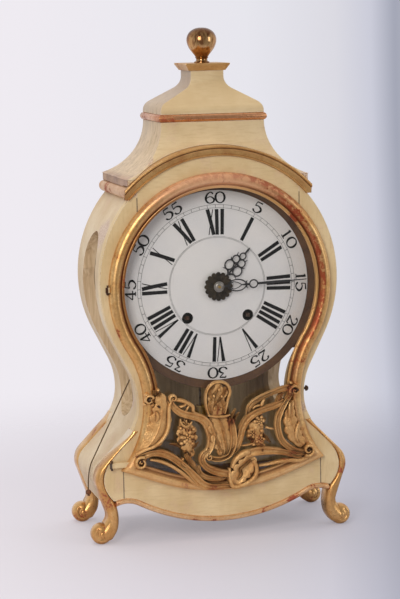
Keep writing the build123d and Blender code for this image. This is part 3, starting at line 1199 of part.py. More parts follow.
def make_frame():
    """The plates, their pillars, the pendulum cock, the bell and its stand."""
    parts = {}
    plate = band(-PLATE_HALF_WIDTH, PLATE_HALF_WIDTH, PLATE_BOTTOM_Z, PLATE_TOP_Z)
    front = boarded(plate, FRONT_PLATE_Y, FRONT_PLATE_Y + PLATE_T)
    back = boarded(plate, BACK_PLATE_Y, BACK_PLATE_Y + PLATE_T)
    hammer_at = Vector(HAMMER_X, HAMMER_Z)
    pivots = [(GOING_AT, WINDING_ARBOR_R), (STRIKE_AT, WINDING_ARBOR_R), (CENTRE_AT, ARBOR_R),
              (INTERMEDIATE_AT, PIVOT_R), (THIRD_AT, PIVOT_R), (ESCAPE_AT, PIVOT_R), (PALLET_AT, ARBOR_R),
              (hammer_at, PIVOT_R)]
    for at, radius in pivots:
        hole = turned([(FRONT_PLATE_Y - 1, BACK_PIVOT_Y + 1, radius + FIT)], (at.X, at.Y))
        front -= hole
        back -= hole
    front += turned([(MINUTE_PINION_Y - 0.5, FRONT_PLATE_Y, STUD_R)], (MINUTE_AT.X, MINUTE_AT.Y))
    parts["front_plate"] = front
    parts["back_plate"] = back
    pillars = None
    reach_x = PLATE_HALF_WIDTH - PILLAR_INSET
    for x in (-reach_x, reach_x):
        for z in (PLATE_BOTTOM_Z + PILLAR_INSET, PLATE_TOP_Z - PILLAR_INSET):
            quarter = PLATE_SPAN / 4
            pillar = turned([(BETWEEN_Y, BACK_PLATE_Y, PILLAR_R),
                             (BETWEEN_Y + quarter, BACK_PLATE_Y - quarter, PILLAR_BELLY_R)], (x, z))
            pillars = pillar if pillars is None else pillars + pillar
    parts["plate_pillars"] = pillars

    pin_z, top = PALLET_AT.Y, PALLET_AT.Y + COCK_RISE
    drop_y = PENDULUM_Y + SUSPENSION_L / 2 + ARBOR_TIP
    drop_back = drop_y + COCK_LEG_T
    cock = block(-COCK_W / 2, COCK_W / 2, BACK_PIVOT_Y, drop_back, top, top + COCK_T)
    cock += block(-COCK_LEG_W / 2, COCK_LEG_W / 2, drop_y, drop_back, pin_z - COCK_LEG_DROP, top)
    parts["pendulum_cock"] = cock + turned([(PENDULUM_Y - COCK_PIN_REACH, drop_y, ARBOR_R)], (0, pin_z))

    stand_z = PLATE_TOP_Z - STAND_FOOT_H
    rod_top = BELL_Z + BELL_R + STAND_PROUD
    rod = Pos(BELL_X, BELL_Y, (stand_z + rod_top) / 2) * Cylinder(STAND_R, rod_top - stand_z)
    foot = block(BELL_X - STAND_FOOT_W / 2, BELL_X + STAND_FOOT_W / 2, BELL_Y - STAND_FOOT_REACH, BACK_PLATE_Y,
                 stand_z, PLATE_TOP_Z)
    cap = Pos(BELL_X, BELL_Y, rod_top - STAND_CAP_T / 2) * Cylinder(STAND_CAP_R, STAND_CAP_T)
    stand = rod + foot + cap
    bell = Pos(BELL_X, BELL_Y, BELL_Z) * (Sphere(BELL_R) - Sphere(BELL_R - BELL_T))
    bell &= block(BELL_X - BELL_R, BELL_X + BELL_R, BELL_Y - BELL_R, BELL_Y + BELL_R, BELL_Z, BELL_Z + BELL_R)
    parts["bell"] = bell - stand
    parts["bell_stand"] = stand
    return parts


def make_pendulum():
    """The pallets with their arbor and crutch, and the pendulum that they drive."""
    parts = {}
    at = (PALLET_AT.X, PALLET_AT.Y)
    y = ESCAPE_WHEEL_Y - 1.0
    clear_r = ESCAPE_R + ANCHOR_CLEAR
    span = math.radians(PALLET_SPAN_DEG)
    tip = (clear_r * math.sin(span), ESCAPE_AT.Y + clear_r * math.cos(span) - PALLET_AT.Y)
    x, z, claw = tip[0], tip[1], FORK_REACH
    anchor = make_face(Polyline(
        (0, CRUTCH_W), (-x - claw, z + claw), (-x, z), (-x + CRUTCH_T, z + ANCHOR_CLEAR), (0, -HAND_WALL),
        (x - CRUTCH_T, z + ANCHOR_CLEAR), (x, z), (x + claw, z + claw), close=True))
    pallets = boarded(Pos(*at) * anchor, y, y + 2 * WHEEL_T)
    pallets += turned([(FRONT_PLATE_Y, CRUTCH_Y + FORK_REACH, ARBOR_R)], at)
    low = PALLET_AT.Y - CRUTCH_LENGTH
    pallets += block(-CRUTCH_W / 2, CRUTCH_W / 2, CRUTCH_Y, CRUTCH_Y + CRUTCH_T, low, PALLET_AT.Y)
    fork_gap = PENDULUM_ROD_R + FREE_GAP
    for side in (-1, 1):
        inner, outer = side * fork_gap, side * (fork_gap + FORK_T)
        pallets += block(min(inner, outer), max(inner, outer), CRUTCH_Y, PENDULUM_Y + FORK_REACH, low,
                         low + FORK_REACH)
    parts["pallets"] = pallets
    bob_z = PALLET_AT.Y - PENDULUM_LENGTH
    bob_top = bob_z + BOB_H / 2
    rod = Pos(0, PENDULUM_Y, (PALLET_AT.Y + bob_top) / 2) * Cylinder(PENDULUM_ROD_R, PALLET_AT.Y - bob_top)
    rod += turned([(PENDULUM_Y - SUSPENSION_L / 2, PENDULUM_Y + SUSPENSION_L / 2, 2.4 * ARBOR_R)], at)
    bore = turned([(PENDULUM_Y - SUSPENSION_L, PENDULUM_Y + SUSPENSION_L, ARBOR_R + FIT)], at)
    parts["pendulum_rod"] = rod - bore
    bob = Pos(0, PENDULUM_Y, bob_z) * Cylinder(BOB_R, BOB_H)
    rims = bob.edges().filter_by(GeomType.CIRCLE)
    parts["pendulum_bob"] = fillet(rims, 0.3 * BOB_R)
    return parts


def make_hammer():
    """The strike hammer, whose head stands just off the bell."""
    head_x1 = BELL_X - math.sqrt(BELL_R ** 2 - HAMMER_HEAD_R ** 2) - HAMMER_GAP
    head_z = BELL_Z + HAMMER_HEAD_R
    along_x = Plane((head_x1 - HAMMER_HEAD_LENGTH, BELL_Y, head_z), z_dir=(1, 0, 0))
    head = extrude(along_x * Circle(HAMMER_HEAD_R), amount=HAMMER_HEAD_LENGTH)
    head_x = head_x1 - HAMMER_HEAD_LENGTH / 2
    spine = Vector(head_x - HAMMER_X, head_z - HAMMER_Z)
    lean = math.degrees(math.atan2(-spine.X, spine.Y))
    arm_face = Rot(0, 0, lean) * Rectangle(HAMMER_ARM_W, spine.length)
    arm_face = Pos((head_x + HAMMER_X) / 2, (head_z + HAMMER_Z) / 2) * arm_face
    arm = boarded(arm_face, BELL_Y - HAMMER_ARM_T / 2, BELL_Y + HAMMER_ARM_T / 2)
    staff = turned([(FRONT_PLATE_Y, BACK_PIVOT_Y, PIVOT_R),
                    (BETWEEN_Y + ARBOR_TIP, BACK_PLATE_Y - ARBOR_TIP, HAMMER_STAFF_R)], (HAMMER_X, HAMMER_Z))
    return head + arm + staff


# ================================================================ pull cord
def cord_points():
    """The cord's top, the corner of its bend over the knee of the case, its end and the bend's radius."""
    radius = KNEE_R - PANEL_INSET + CORD_CLEAR + CORD_R
    knee = Vector(-KNEE_C.X, KNEE_Z)
    top = Vector(CORD_TOP_X, CORD_TOP_Z)
    fall_x = knee.X - radius
    reach = top - knee
    lean = math.degrees(math.atan2(reach.X, reach.Y) + math.asin(radius / reach.length))
    corner_z = KNEE_Z + radius * math.tan(math.radians(lean / 2))
    return (top.X, CORD_Y, top.Y), (fall_x, CORD_Y, corner_z), (fall_x, CORD_Y, CORD_END_Z), radius


def make_cord():
    """The pull cord from its eye at the slot, over the knee of the case to its bead."""
    parts = {}
    top, corner, end, radius = cord_points()
    path = FilletPolyline(top, corner, end, radius=radius)
    print("cord points", top, corner, end, "bend radius", radius, "length", path.length)
    section = Plane(top, z_dir=Vector(*corner) - Vector(*top)) * Circle(CORD_R)
    cord = sweep(section, path=path)
    parts["pull_cord"] = cord
    x, y, z = end
    ball_z = z - CORD_BEAD_R
    bead = Pos(x, y, ball_z) * Sphere(CORD_BEAD_R) + Pos(x, y, ball_z - CORD_BEAD_R) * Sphere(CORD_KNOT_R)
    parts["cord_bead"] = bead - cord
    ring_z = CORD_TOP_Z + CORD_EYE_R
    ring = Pos(CORD_TOP_X, CORD_Y, ring_z) * (Rot(0, 90, 0) * Torus(CORD_EYE_R, CORD_EYE_WIRE_R))
    shank = turned([(MIDDLE_Y - SLOT_HALF_WIDTH - CORD_EYE_SHANK, CORD_Y - CORD_EYE_R, CORD_EYE_WIRE_R)],
                   (CORD_TOP_X, ring_z))
    parts["cord_eye"] = ring + shank - cord
    return parts


# ================================================================ all together
def make_clock():
    """Every piece of the clock, by name."""
    parts = make_case()
    parts["hinge_pins"] = make_hinge_pins()
    parts.update(make_door())
    parts["catch_button"] = make_catch()
    parts.update(make_roof())
    parts.update(make_train())
    parts.update(make_motion_work())
    parts.update(make_dial())
    parts.update(make_frame())
    parts.update(make_pendulum())
    parts["hammer"] = make_hammer()
    parts.update(make_cord())
    parts["side_panel_left"] -= parts["cord_eye"]
    return parts


os.makedirs("parts", exist_ok=True)
for name, shape in make_clock().items():
    export_step(shape, os.path.join("parts", name + ".step"))
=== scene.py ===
import logging
from dataclasses import dataclass, field
from enum import Enum
from math import acos, asin, atan2, copysign, cos, degrees, hypot, pi, radians, sin, sqrt
from typing import Sequence

import bmesh
import bpy
from bmesh.types import BMEdge, BMesh, BMVert
from bpy.types import Material, NodeSocket, Object
from mathutils import Matrix, Vector


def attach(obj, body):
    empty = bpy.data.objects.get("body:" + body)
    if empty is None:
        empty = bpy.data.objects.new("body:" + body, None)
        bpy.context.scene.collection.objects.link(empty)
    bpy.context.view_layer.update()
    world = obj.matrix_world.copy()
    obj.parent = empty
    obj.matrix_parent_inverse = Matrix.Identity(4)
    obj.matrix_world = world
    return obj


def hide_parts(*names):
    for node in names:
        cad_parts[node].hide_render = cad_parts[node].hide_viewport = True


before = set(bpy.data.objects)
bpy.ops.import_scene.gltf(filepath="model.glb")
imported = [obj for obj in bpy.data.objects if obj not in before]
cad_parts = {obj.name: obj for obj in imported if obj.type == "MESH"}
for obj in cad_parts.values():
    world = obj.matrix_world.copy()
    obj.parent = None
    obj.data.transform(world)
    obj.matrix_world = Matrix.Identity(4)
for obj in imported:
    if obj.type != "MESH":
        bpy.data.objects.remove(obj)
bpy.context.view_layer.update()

MM = 0.001
MERGED_WITHIN = 0.004  # millimetres, for the pieces made here
WELDED_WITHIN = 0.00001  # metres, for the nodes' own meshes
ROUNDED_PAST = radians(40)
RIGHT, FORWARDS, UP = Vector((1, 0, 0)), Vector((0, -1, 0)), Vector((0, 0, 1))
LOG = logging.getLogger("clock")
Point = tuple[float, float]
Knot = tuple[float, ...]
Triple = tuple[float, float, float]
Colour = Triple
Value = NodeSocket | float | Sequence[float]


# ------------------------------------------------------------------ shared measures, in millimetres
@dataclass(frozen=True)
class Measures:
    """The sizes that several sub-assemblies share."""

    front: float = -59.5
    rear: float = 72.5
    middle: float = 6.5
    dial_z: float = 298.0
    door_back: float = -59.9


M = Measures()


# ------------------------------------------------------------------ lines and outlines
def smooth_through(knots: Sequence[Knot], steps: int) -> list[Knot]:
    """Points on a smooth line through the given ones.

    Args:
        knots: The points, each with any number of values that blend along the line.
        steps: How many points are made for each gap between two knots.
    Returns:
        The points, ending with the last knot.
    """
    line = []
    last = len(knots) - 1
    for i in range(last):
        around = (knots[max(i - 1, 0)], knots[i], knots[i + 1], knots[min(i + 2, last)])
        for k in range(steps):
            t = k / steps
            line.append(tuple(
                0.5 * (2 * b + (c - a) * t + (2 * a - 5 * b + 4 * c - d) * t * t + (3 * b - a - 3 * c + d) * t ** 3)
                for a, b, c, d in zip(*around)))
    line.append(tuple(knots[-1]))
    return line


def arc(centre: Vector, start: Vector, end: Vector, count: int) -> list[Vector]:
    """Points on an arc, the short way round.

    Args:
        centre: The arc's centre.
        start: Its first point.
        end: Its last point, or one straight beyond it.
        count: How many gaps it has.
    Returns:
        The points, both ends included.
    """
    begin, finish = start - centre, end - centre
    turn = atan2(begin.x * finish.y - begin.y * finish.x, begin.dot(finish))
    return [centre + Matrix.Rotation(turn * k / count, 2) @ begin for k in range(count + 1)]


def resampled(line: Sequence[Vector], count: int) -> list[Vector]:
    """The same line with its points evenly spaced.

    Args:
        line: The points of the line.
        count: How many gaps the new line has.
    Returns:
        The new points, first and last kept.
    """
    reach = [0.0]
    for a, b in zip(line, line[1:]):
        reach.append(reach[-1] + (b - a).length)
    out, at = [], 0
    for k in range(count + 1):
        want = reach[-1] * k / count
        while at < len(line) - 2 and reach[at + 1] < want:
            at += 1
        share = (want - reach[at]) / max(reach[at + 1] - reach[at], 1e-9)
        out.append(line[at].lerp(line[at + 1], min(max(share, 0.0), 1.0)))
    return out


def cross_tangent(c1: Vector, r1: float, c2: Vector, r2: float, turn: int) -> tuple[Vector, Vector]:
    """Where a straight run leaves one circle and meets another that bends the other way.

    Args:
        c1: The centre of the first circle.
        r1: Its radius.
        c2: The centre of the second circle.
        r2: Its radius.
        turn: 1 or -1, for the side of the first circle that the run leaves from.
    Returns:
        The two ends.
    """
    gap = c2 - c1
    swing = turn * acos((r1 + r2) / gap.length)
    out = Matrix.Rotation(swing, 2) @ gap.normalized()
    return c1 + out * r1, c2 - out * r2


@dataclass(frozen=True)
class CaseOutline:
    """The waisted outline of the case's right half, as circles and the runs between them."""

    waist: Vector = Vector((161.5, 165.0))
    waist_r: float = 60.0
    knee: Vector = Vector((130.3, 77.0))
    knee_r: float = 24.0
    ankle: Vector = Vector((153.0, 33.0))
    ankle_r: float = 12.0
    tip_z: float = 134.0
    foot: Vector = Vector((148.0, 12.0))
    foot_r: float = 12.48

    def leg_outer(self) -> list[Vector]:
        """The outer edge of the leg, from its upper tip to where it meets the foot."""
        tip = Vector((self.waist.x - sqrt(self.waist_r ** 2 - (self.waist.y - self.tip_z) ** 2), self.tip_z))
        leave_waist, reach_knee = cross_tangent(self.waist, self.waist_r, self.knee, self.knee_r, -1)
        leave_knee, reach_ankle = cross_tangent(self.knee, self.knee_r, self.ankle, self.ankle_r, 1)
        low = self.ankle + Vector((-0.86, -0.51)) * self.ankle_r
        return (arc(self.waist, tip, leave_waist, 8) + arc(self.knee, reach_knee, leave_knee, 14)
                + arc(self.ankle, reach_ankle, low, 8))

    def leg_inner(self) -> list[Vector]:
        """The inner edge of the leg, from its upper tip to its toe."""
        knots = [(101.5, 133.0), (111.0, 124.0), (123.0, 113.5), (141.0, 92.0), (145.0, 76.0), (139.5, 59.0),
                 (131.0, 47.0), (127.8, 32.0), (129.5, 16.0), (136.5, 4.5)]
        return [Vector(point) for point in smooth_through(knots, 6)]


@dataclass(frozen=True)
class DoorOutline:
    """The door's outline: a hoop, a waist that spreads to two tips, and a sagging sill."""

    centre: Vector = Vector((0.0, 299.0))
    hoop_r: float = 134.5
    waist_x: float = 96.2
    waist_z: float = 165.0
    sill_low: float = 56.0
    sill_r: float = 225.0
    sill_turn: float = radians(20.8)

    def half(self, inset: float, sill_inset: float, counts: tuple[int, int, int, int]) -> list[Vector]:
        """The right half, from the crown to the lowest point, moved inwards.

        Args:
            inset: How far the hoop and the waist move in.
            sill_inset: How far the sill moves in.
            counts: How many gaps the hoop, the waist, the straight run and the sill's arc have.
        Returns:
            The points in order.
        """
        rise = self.centre.y - self.waist_z
        waist_r = (self.waist_x ** 2 + rise ** 2 - self.hoop_r ** 2) / (2 * (self.hoop_r - self.waist_x))
        waist_c = Vector((self.waist_x + waist_r, self.waist_z))
        sill_c = Vector((0.0, self.sill_low + self.sill_r))
        slope = Vector((cos(self.sill_turn), sin(self.sill_turn)))
        crown = self.centre + Vector((0.0, self.hoop_r - inset))
        spring = self.centre + (waist_c - self.centre).normalized() * (self.hoop_r - inset)
        turn = sill_c + Vector((slope.y, -slope.x)) * (self.sill_r - sill_inset)
        to_waist = turn - waist_c
        ahead = to_waist.dot(slope)
        run = -ahead - sqrt(ahead ** 2 - to_waist.dot(to_waist) + (waist_r + inset) ** 2)
        tip = turn + slope * run
        lowest = Vector((0.0, self.sill_low + sill_inset))
        straight = [tip.lerp(turn, k / counts[2]) for k in range(counts[2] + 1)]
        return (arc(self.centre, crown, spring, counts[0])[:-1] + arc(waist_c, spring, tip, counts[1])[:-1]
                + straight[:-1] + arc(sill_c, turn, lowest, counts[3]))

    def loop(self, inset: float, sill_inset: float, counts: tuple[int, int, int, int]) -> list[Vector]:
        """The whole outline, without its first point at the end."""
        right = self.half(inset, sill_inset, counts)
        left = [Vector((-p.x, p.y)) for p in reversed(right[1:-1])]
        return right + left


@dataclass(frozen=True)
class ApronOutline:
    """The lower edge of the apron: a sagging arc whose ends turn up into the legs."""

    low: float = 17.5
    radius: float = 217.0
    turn_x: float = 104.0
    end_r: float = 30.0
    end_x: float = 131.5

    def edge(self, lift: float) -> list[Vector]:
        """The edge from its left end to its right one, moved inwards by lift."""
        centre = Vector((0.0, self.low + self.radius))
        lean = asin(self.turn_x / self.radius)
        out = Vector((sin(lean), -cos(lean)))
        end_c = centre + out * (self.radius + self.end_r)
        turn = centre + out * (self.radius - lift)
        end_r = self.end_r + lift
        end = Vector((self.end_x, end_c.y + sqrt(end_r ** 2 - (self.end_x - end_c.x) ** 2)))
        right = arc(centre, Vector((0.0, self.low + lift)), turn, 24)[:-1] + arc(end_c, turn, end, 10)
        return [Vector((-p.x, p.y)) for p in reversed(right[1:])] + right


# ------------------------------------------------------------------ mesh tools
class Section(Enum):
    """Cross-sections, as (a, b): a across in half widths, b forwards in heights."""

    TROUGH = ((-1, 0), (-1, 0.5), (-0.88, 0.86), (-0.68, 0.96), (-0.52, 0.74), (-0.25, 0.5), (0.12, 0.46),
              (0.42, 0.66), (0.6, 0.94), (0.82, 1), (1, 0.6), (1, 0))
    LEAF = ((-1, 0), (-1, 0.28), (-0.74, 0.58), (-0.5, 0.5), (-0.28, 0.84), (-0.12, 0.78), (0, 1), (0.12, 0.78),
            (0.28, 0.84), (0.5, 0.5), (0.74, 0.58), (1, 0.28), (1, 0))
    ROLL = ((-1, 0), (-0.97, 0.4), (-0.76, 0.78), (-0.4, 0.96), (0, 1), (0.4, 0.96), (0.76, 0.78), (0.97, 0.4), (1, 0))
    REEDS = ((-1, 0), (-1, 0.5), (-0.8, 0.82), (-0.56, 0.6), (-0.32, 0.95), (-0.1, 0.66), (0.14, 1), (0.38, 0.66),
             (0.62, 0.9), (0.86, 0.7), (1, 0.4), (1, 0))
    FLAT = ((-1, 0), (-1, 1), (1, 1), (1, 0))
    WIRE = ((-1, 0.5), (-0.7, 0.85), (0, 1), (0.7, 0.85), (1, 0.5), (0.7, 0.15), (0, 0), (-0.7, 0.15))


@dataclass(frozen=True)
class Station:
    """One place along a run: where the section stands, its two directions and its sizes."""

    centre: Vector
    across: Vector
    up: Vector

    def place(self, a: float, b: float) -> Vector:
        """Where a point of the section comes to lie."""
        return self.centre + self.across * a + self.up * b


def blank() -> BMesh:
    """A new mesh, with the layers that runs of a section write to."""
    mesh = bmesh.new()
    mesh.verts.layers.int.new("ring_place")
    mesh.verts.layers.float_vector.new("section")
    return mesh


def run_section(mesh: BMesh, section: Section | Sequence[Point], stations: Sequence[Station],
                closed: bool = False) -> None:
    """Extrudes a ring from station to station.

    Args:
        mesh: The mesh that gets the run.
        section: The section, or its points as (a, b).
        stations: Where the section stands, in order.
        closed: Whether the run ends where it began.
    """
    ring = section.value if isinstance(section, Section) else section
    number_of = mesh.verts.layers.int["ring_place"]
    written = mesh.verts.layers.float_vector["section"]
    stops = list(stations) + ([stations[0]] if closed else [])
    first = [mesh.verts.new(stops[0].place(a, b)) for a, b in ring]
    for number, vert in enumerate(first):
        vert[number_of] = number
        vert[written] = Vector((ring[number][0], ring[number][1], 0.0))
    edges = [mesh.edges.new((first[i - 1], first[i])) for i in range(len(first))]
    opening = list(edges)
    for step, stop in enumerate(stops[1:], 1):
        grown = bmesh.ops.extrude_edge_only(mesh, edges=edges)["geom"]
        verts = {item for item in grown if isinstance(item, BMVert)}
        edges = [item for item in grown if isinstance(item, BMEdge) and set(item.verts) <= verts]
        for vert in verts:
            a, b = ring[vert[number_of]]
            vert.co = stop.place(a, b)
            vert[written] = Vector((a, b, step / (len(stops) - 1)))
    if not closed:
        bmesh.ops.contextual_create(mesh, geom=opening)
        bmesh.ops.contextual_create(mesh, geom=edges)


def front_run(line: Sequence[Knot], back: float, height: float, taper: float = 0.0) -> list[Station]:
    """Stations for a strap that lies in the front view.

    Args:
        line: The points, as (x, z, width).
        back: The depth of the strap's back.
        height: How far its face stands in front of its back.
        taper: How much of the height the two ends lose, from 0 to 1.
    Returns:
        One station for each point.
    """
    stations = []
    last = len(line) - 1
    for i, (x, z, width) in enumerate(line):
        before, after = line[max(i - 1, 0)], line[min(i + 1, last)]
        ahead = Vector((after[0] - before[0], after[1] - before[1]))
        ahead = ahead.normalized() if ahead.length > 1e-6 else Vector((1.0, 0.0))
        rise = height * (1 - taper * (1 - sin(pi * (0.08 + 0.84 * i / max(last, 1)))))
        stations.append(Station(Vector((x, back, z)), Vector((-ahead.y, 0, ahead.x)) * (width / 2),
                                Vector((0, -rise, 0))))
    return stations


def rail_run(outer: Sequence[Vector], inner: Sequence[Vector], back: float) -> list[Station]:
    """Stations between two lines of the front view, where b is in millimetres.

    Args:
        outer: The line where a is 0.
        inner: The line where a is 1.
        back: The depth where b is 0.
    Returns:
        One station for each pair of points.
    """
    return [Station(Vector((p.x, back, p.y)), Vector((q.x - p.x, 0, q.y - p.y)), FORWARDS)
            for p, q in zip(outer, inner)]


def add_dome(mesh: BMesh, at: Point, size: Triple, back: float, turn: float = 0.0) -> None:
    """A rounded boss in the front view.

    Args:
        mesh: The mesh that gets it.
        at: Its centre, as (x, z).
        size: Its half width, half depth and half height.
        back: The depth of its middle.
        turn: How far it is turned in the front view, in degrees.
    """
    place = (Matrix.Translation((at[0], back, at[1])) @ Matrix.Rotation(radians(-turn), 4, "Y")
             @ Matrix.Diagonal((*size, 1.0)))
    bmesh.ops.create_icosphere(mesh, subdivisions=2, radius=1.0, matrix=place)


def spun(mesh: BMesh, profile: Sequence[Point], centre: Vector, axis: Vector, out: Vector, steps: int = 48) -> None:
    """A turned shape.

    Args:
        mesh: The mesh that gets it.
        profile: Points as (distance from the axis, distance along it), from one end on the axis to the other.
        centre: Where the distances along the axis start.
        axis: The direction of the axis.
        out: A direction square to the axis.
        steps: How many faces go round.
    """
    verts = [mesh.verts.new(centre + out * r + axis * h) for r, h in profile]
    edges = [mesh.edges.new(pair) for pair in zip(verts, verts[1:])]
    bmesh.ops.spin(mesh, geom=verts + edges, cent=centre, axis=axis, angle=2 * pi, steps=steps, use_merge=True)


def on_dial(line: Sequence[Knot], clock: float) -> list[Knot]:
    """Turns points about the dial's middle.

    Args:
        line: The points, as (across, out from the middle, width).
        clock: The angle from twelve, in degrees.
    Returns:
        The points, as (x, z, width).
    """
    turn = radians(clock)
    right, out = Vector((cos(turn), -sin(turn))), Vector((sin(turn), cos(turn)))
    spots = [right * u + out * v for u, v, _ in line]
    return [(spot.x, M.dial_z + spot.y, knot[2]) for spot, knot in zip(spots, line)]


def linked(name: str, data: bpy.types.ID) -> Object:
    """Puts a mesh, a curve, a lamp or a camera into the scene."""
    made = bpy.data.objects.new(name, data)
    bpy.context.scene.collection.objects.link(made)
    return made


def stored(mesh: BMesh, name: str) -> bpy.types.Mesh:
    """Stores an edited mesh, which is used up."""
    data = bpy.data.meshes.new(name)
    mesh.to_mesh(data)
    mesh.free()
    return data


def round_edges(piece: Object, width: float) -> None:
    """Gives a piece's sharp edges a small round of a width in millimetres."""
    rounding = piece.modifiers.new("rounding", "BEVEL")
    rounding.width = width * MM
    rounding.segments = 2
    rounding.limit_method = "ANGLE"
    rounding.angle_limit = ROUNDED_PAST


def finish_piece(mesh: BMesh, name: str, body: str, finish: Material, replaces: Sequence[str] = (),
                 crease: float = 38.0) -> Object:
    """Turns a mesh in millimetres into a finished piece.

    Args:
        mesh: The mesh, which is used up.
        name: The piece's name.
        body: The body that it moves with.
        finish: Its material.
        replaces: The nodes that it stands for.
        crease: The angle past which an edge stays sharp, in degrees.
    Returns:
        The piece.
    """
    bmesh.ops.remove_doubles(mesh, verts=mesh.verts, dist=MERGED_WITHIN)
    bmesh.ops.dissolve_degenerate(mesh, edges=mesh.edges, dist=MERGED_WITHIN)
    bmesh.ops.recalc_face_normals(mesh, faces=mesh.faces)
    for face in mesh.faces:
        face.smooth = True
    for edge in mesh.edges:
        edge.smooth = edge.calc_face_angle(0.0) < radians(crease)
    bmesh.ops.scale(mesh, vec=Vector((MM, MM, MM)), verts=mesh.verts)
    piece = linked(name, stored(mesh, name))
    piece.data.materials.append(finish)
    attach(piece, body)
    if replaces:
        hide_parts(*replaces)
    LOG.info("%s: %d faces on %s", name, len(piece.data.polygons), body)
    return piece


# ------------------------------------------------------------------ finishes
class Nodes:
    """A node tree that is built one node at a time."""

    def __init__(self, tree: bpy.types.NodeTree) -> None:
        """Takes a tree and empties it."""
        self.tree = tree
        tree.nodes.clear()

    def feed(self, target: NodeSocket, value: Value) -> None:
        """Gives a socket a link or a fixed value; a colour of three parts is made opaque."""
        if isinstance(value, bpy.types.NodeSocket):
            self.tree.links.new(value, target)
        else:
            target.default_value = (*value, 1.0) if target.type == "RGBA" and len(value) == 3 else value

    def node(self, kind: str, inputs: dict[int | str, Value] | None = None, **settings: object) -> bpy.types.Node:
        """Adds a shader node.

        Args:
            kind: Its type, without the words that each type starts with.
            inputs: What its sockets get, by their names or places.
            settings: Its own properties.
        Returns:
            The node.
        """
        made = self.tree.nodes.new("ShaderNode" + kind)
        for key, value in settings.items():
            setattr(made, key, value)
        for key, value in (inputs or {}).items():
            self.feed(made.inputs[key], value)
        return made

    def split(self, vector: NodeSocket) -> Sequence[NodeSocket]:
        """The three parts of a vector."""
        return self.node("SeparateXYZ", {0: vector}).outputs

    def sums(self, kind: str, a: Value, b: Value = 0.0) -> NodeSocket:
        """One step of arithmetic."""
        return self.node("Math", {0: a, 1: b}, operation=kind).outputs[0]

    def plus(self, a: Value, b: Value) -> NodeSocket:
        """The sum of two values."""
        return self.sums("ADD", a, b)

    def minus(self, a: Value, b: Value) -> NodeSocket:
        """The first value less the second."""
        return self.sums("SUBTRACT", a, b)

    def times(self, a: Value, *others: Value) -> NodeSocket:
        """The product of all the values."""
        for other in others:
            a = self.sums("MULTIPLY", a, other)
        return a

    def rest(self, a: Value) -> NodeSocket:
        """What a share leaves of the whole."""
        return self.minus(1.0, a)

    def shaken(self, value: Value, noise: NodeSocket, reach: float) -> NodeSocket:
        """A value moved up and down by a noise."""
        return self.plus(value, self.times(self.minus(noise, 0.5), reach))

    def fade(self, value: NodeSocket, low: float, high: float, to_low: float = 0.0, to_high: float = 1.0,
             form: str = "SMOOTHSTEP") -> NodeSocket:
        """A step of a value between two levels, smooth unless it is asked for straight."""
        levels = {"Value": value, "From Min": low, "From Max": high, "To Min": to_low, "To Max": to_high}
        return self.node("MapRange", levels, interpolation_type=form).outputs["Result"]

    def ramp(self, value: NodeSocket, stops: Sequence[tuple[float, Colour]]) -> NodeSocket:
        """Colours laid along a value."""
        made = self.node("ValToRGB", {0: value})
        line = made.color_ramp.elements
        while len(line) < len(stops):
            line.new(0.5)
        for stop, (at, colour) in zip(line, stops):
            stop.position = at
            stop.color = (*colour, 1.0)
        return made.outputs["Color"]

    def blend(self, share: Value, a: NodeSocket | Colour, b: NodeSocket | Colour) -> NodeSocket:
        """A mix of two colours."""
        return self.node("Mix", {0: share, 6: a, 7: b}, data_type="RGBA", clamp_factor=True).outputs[2]


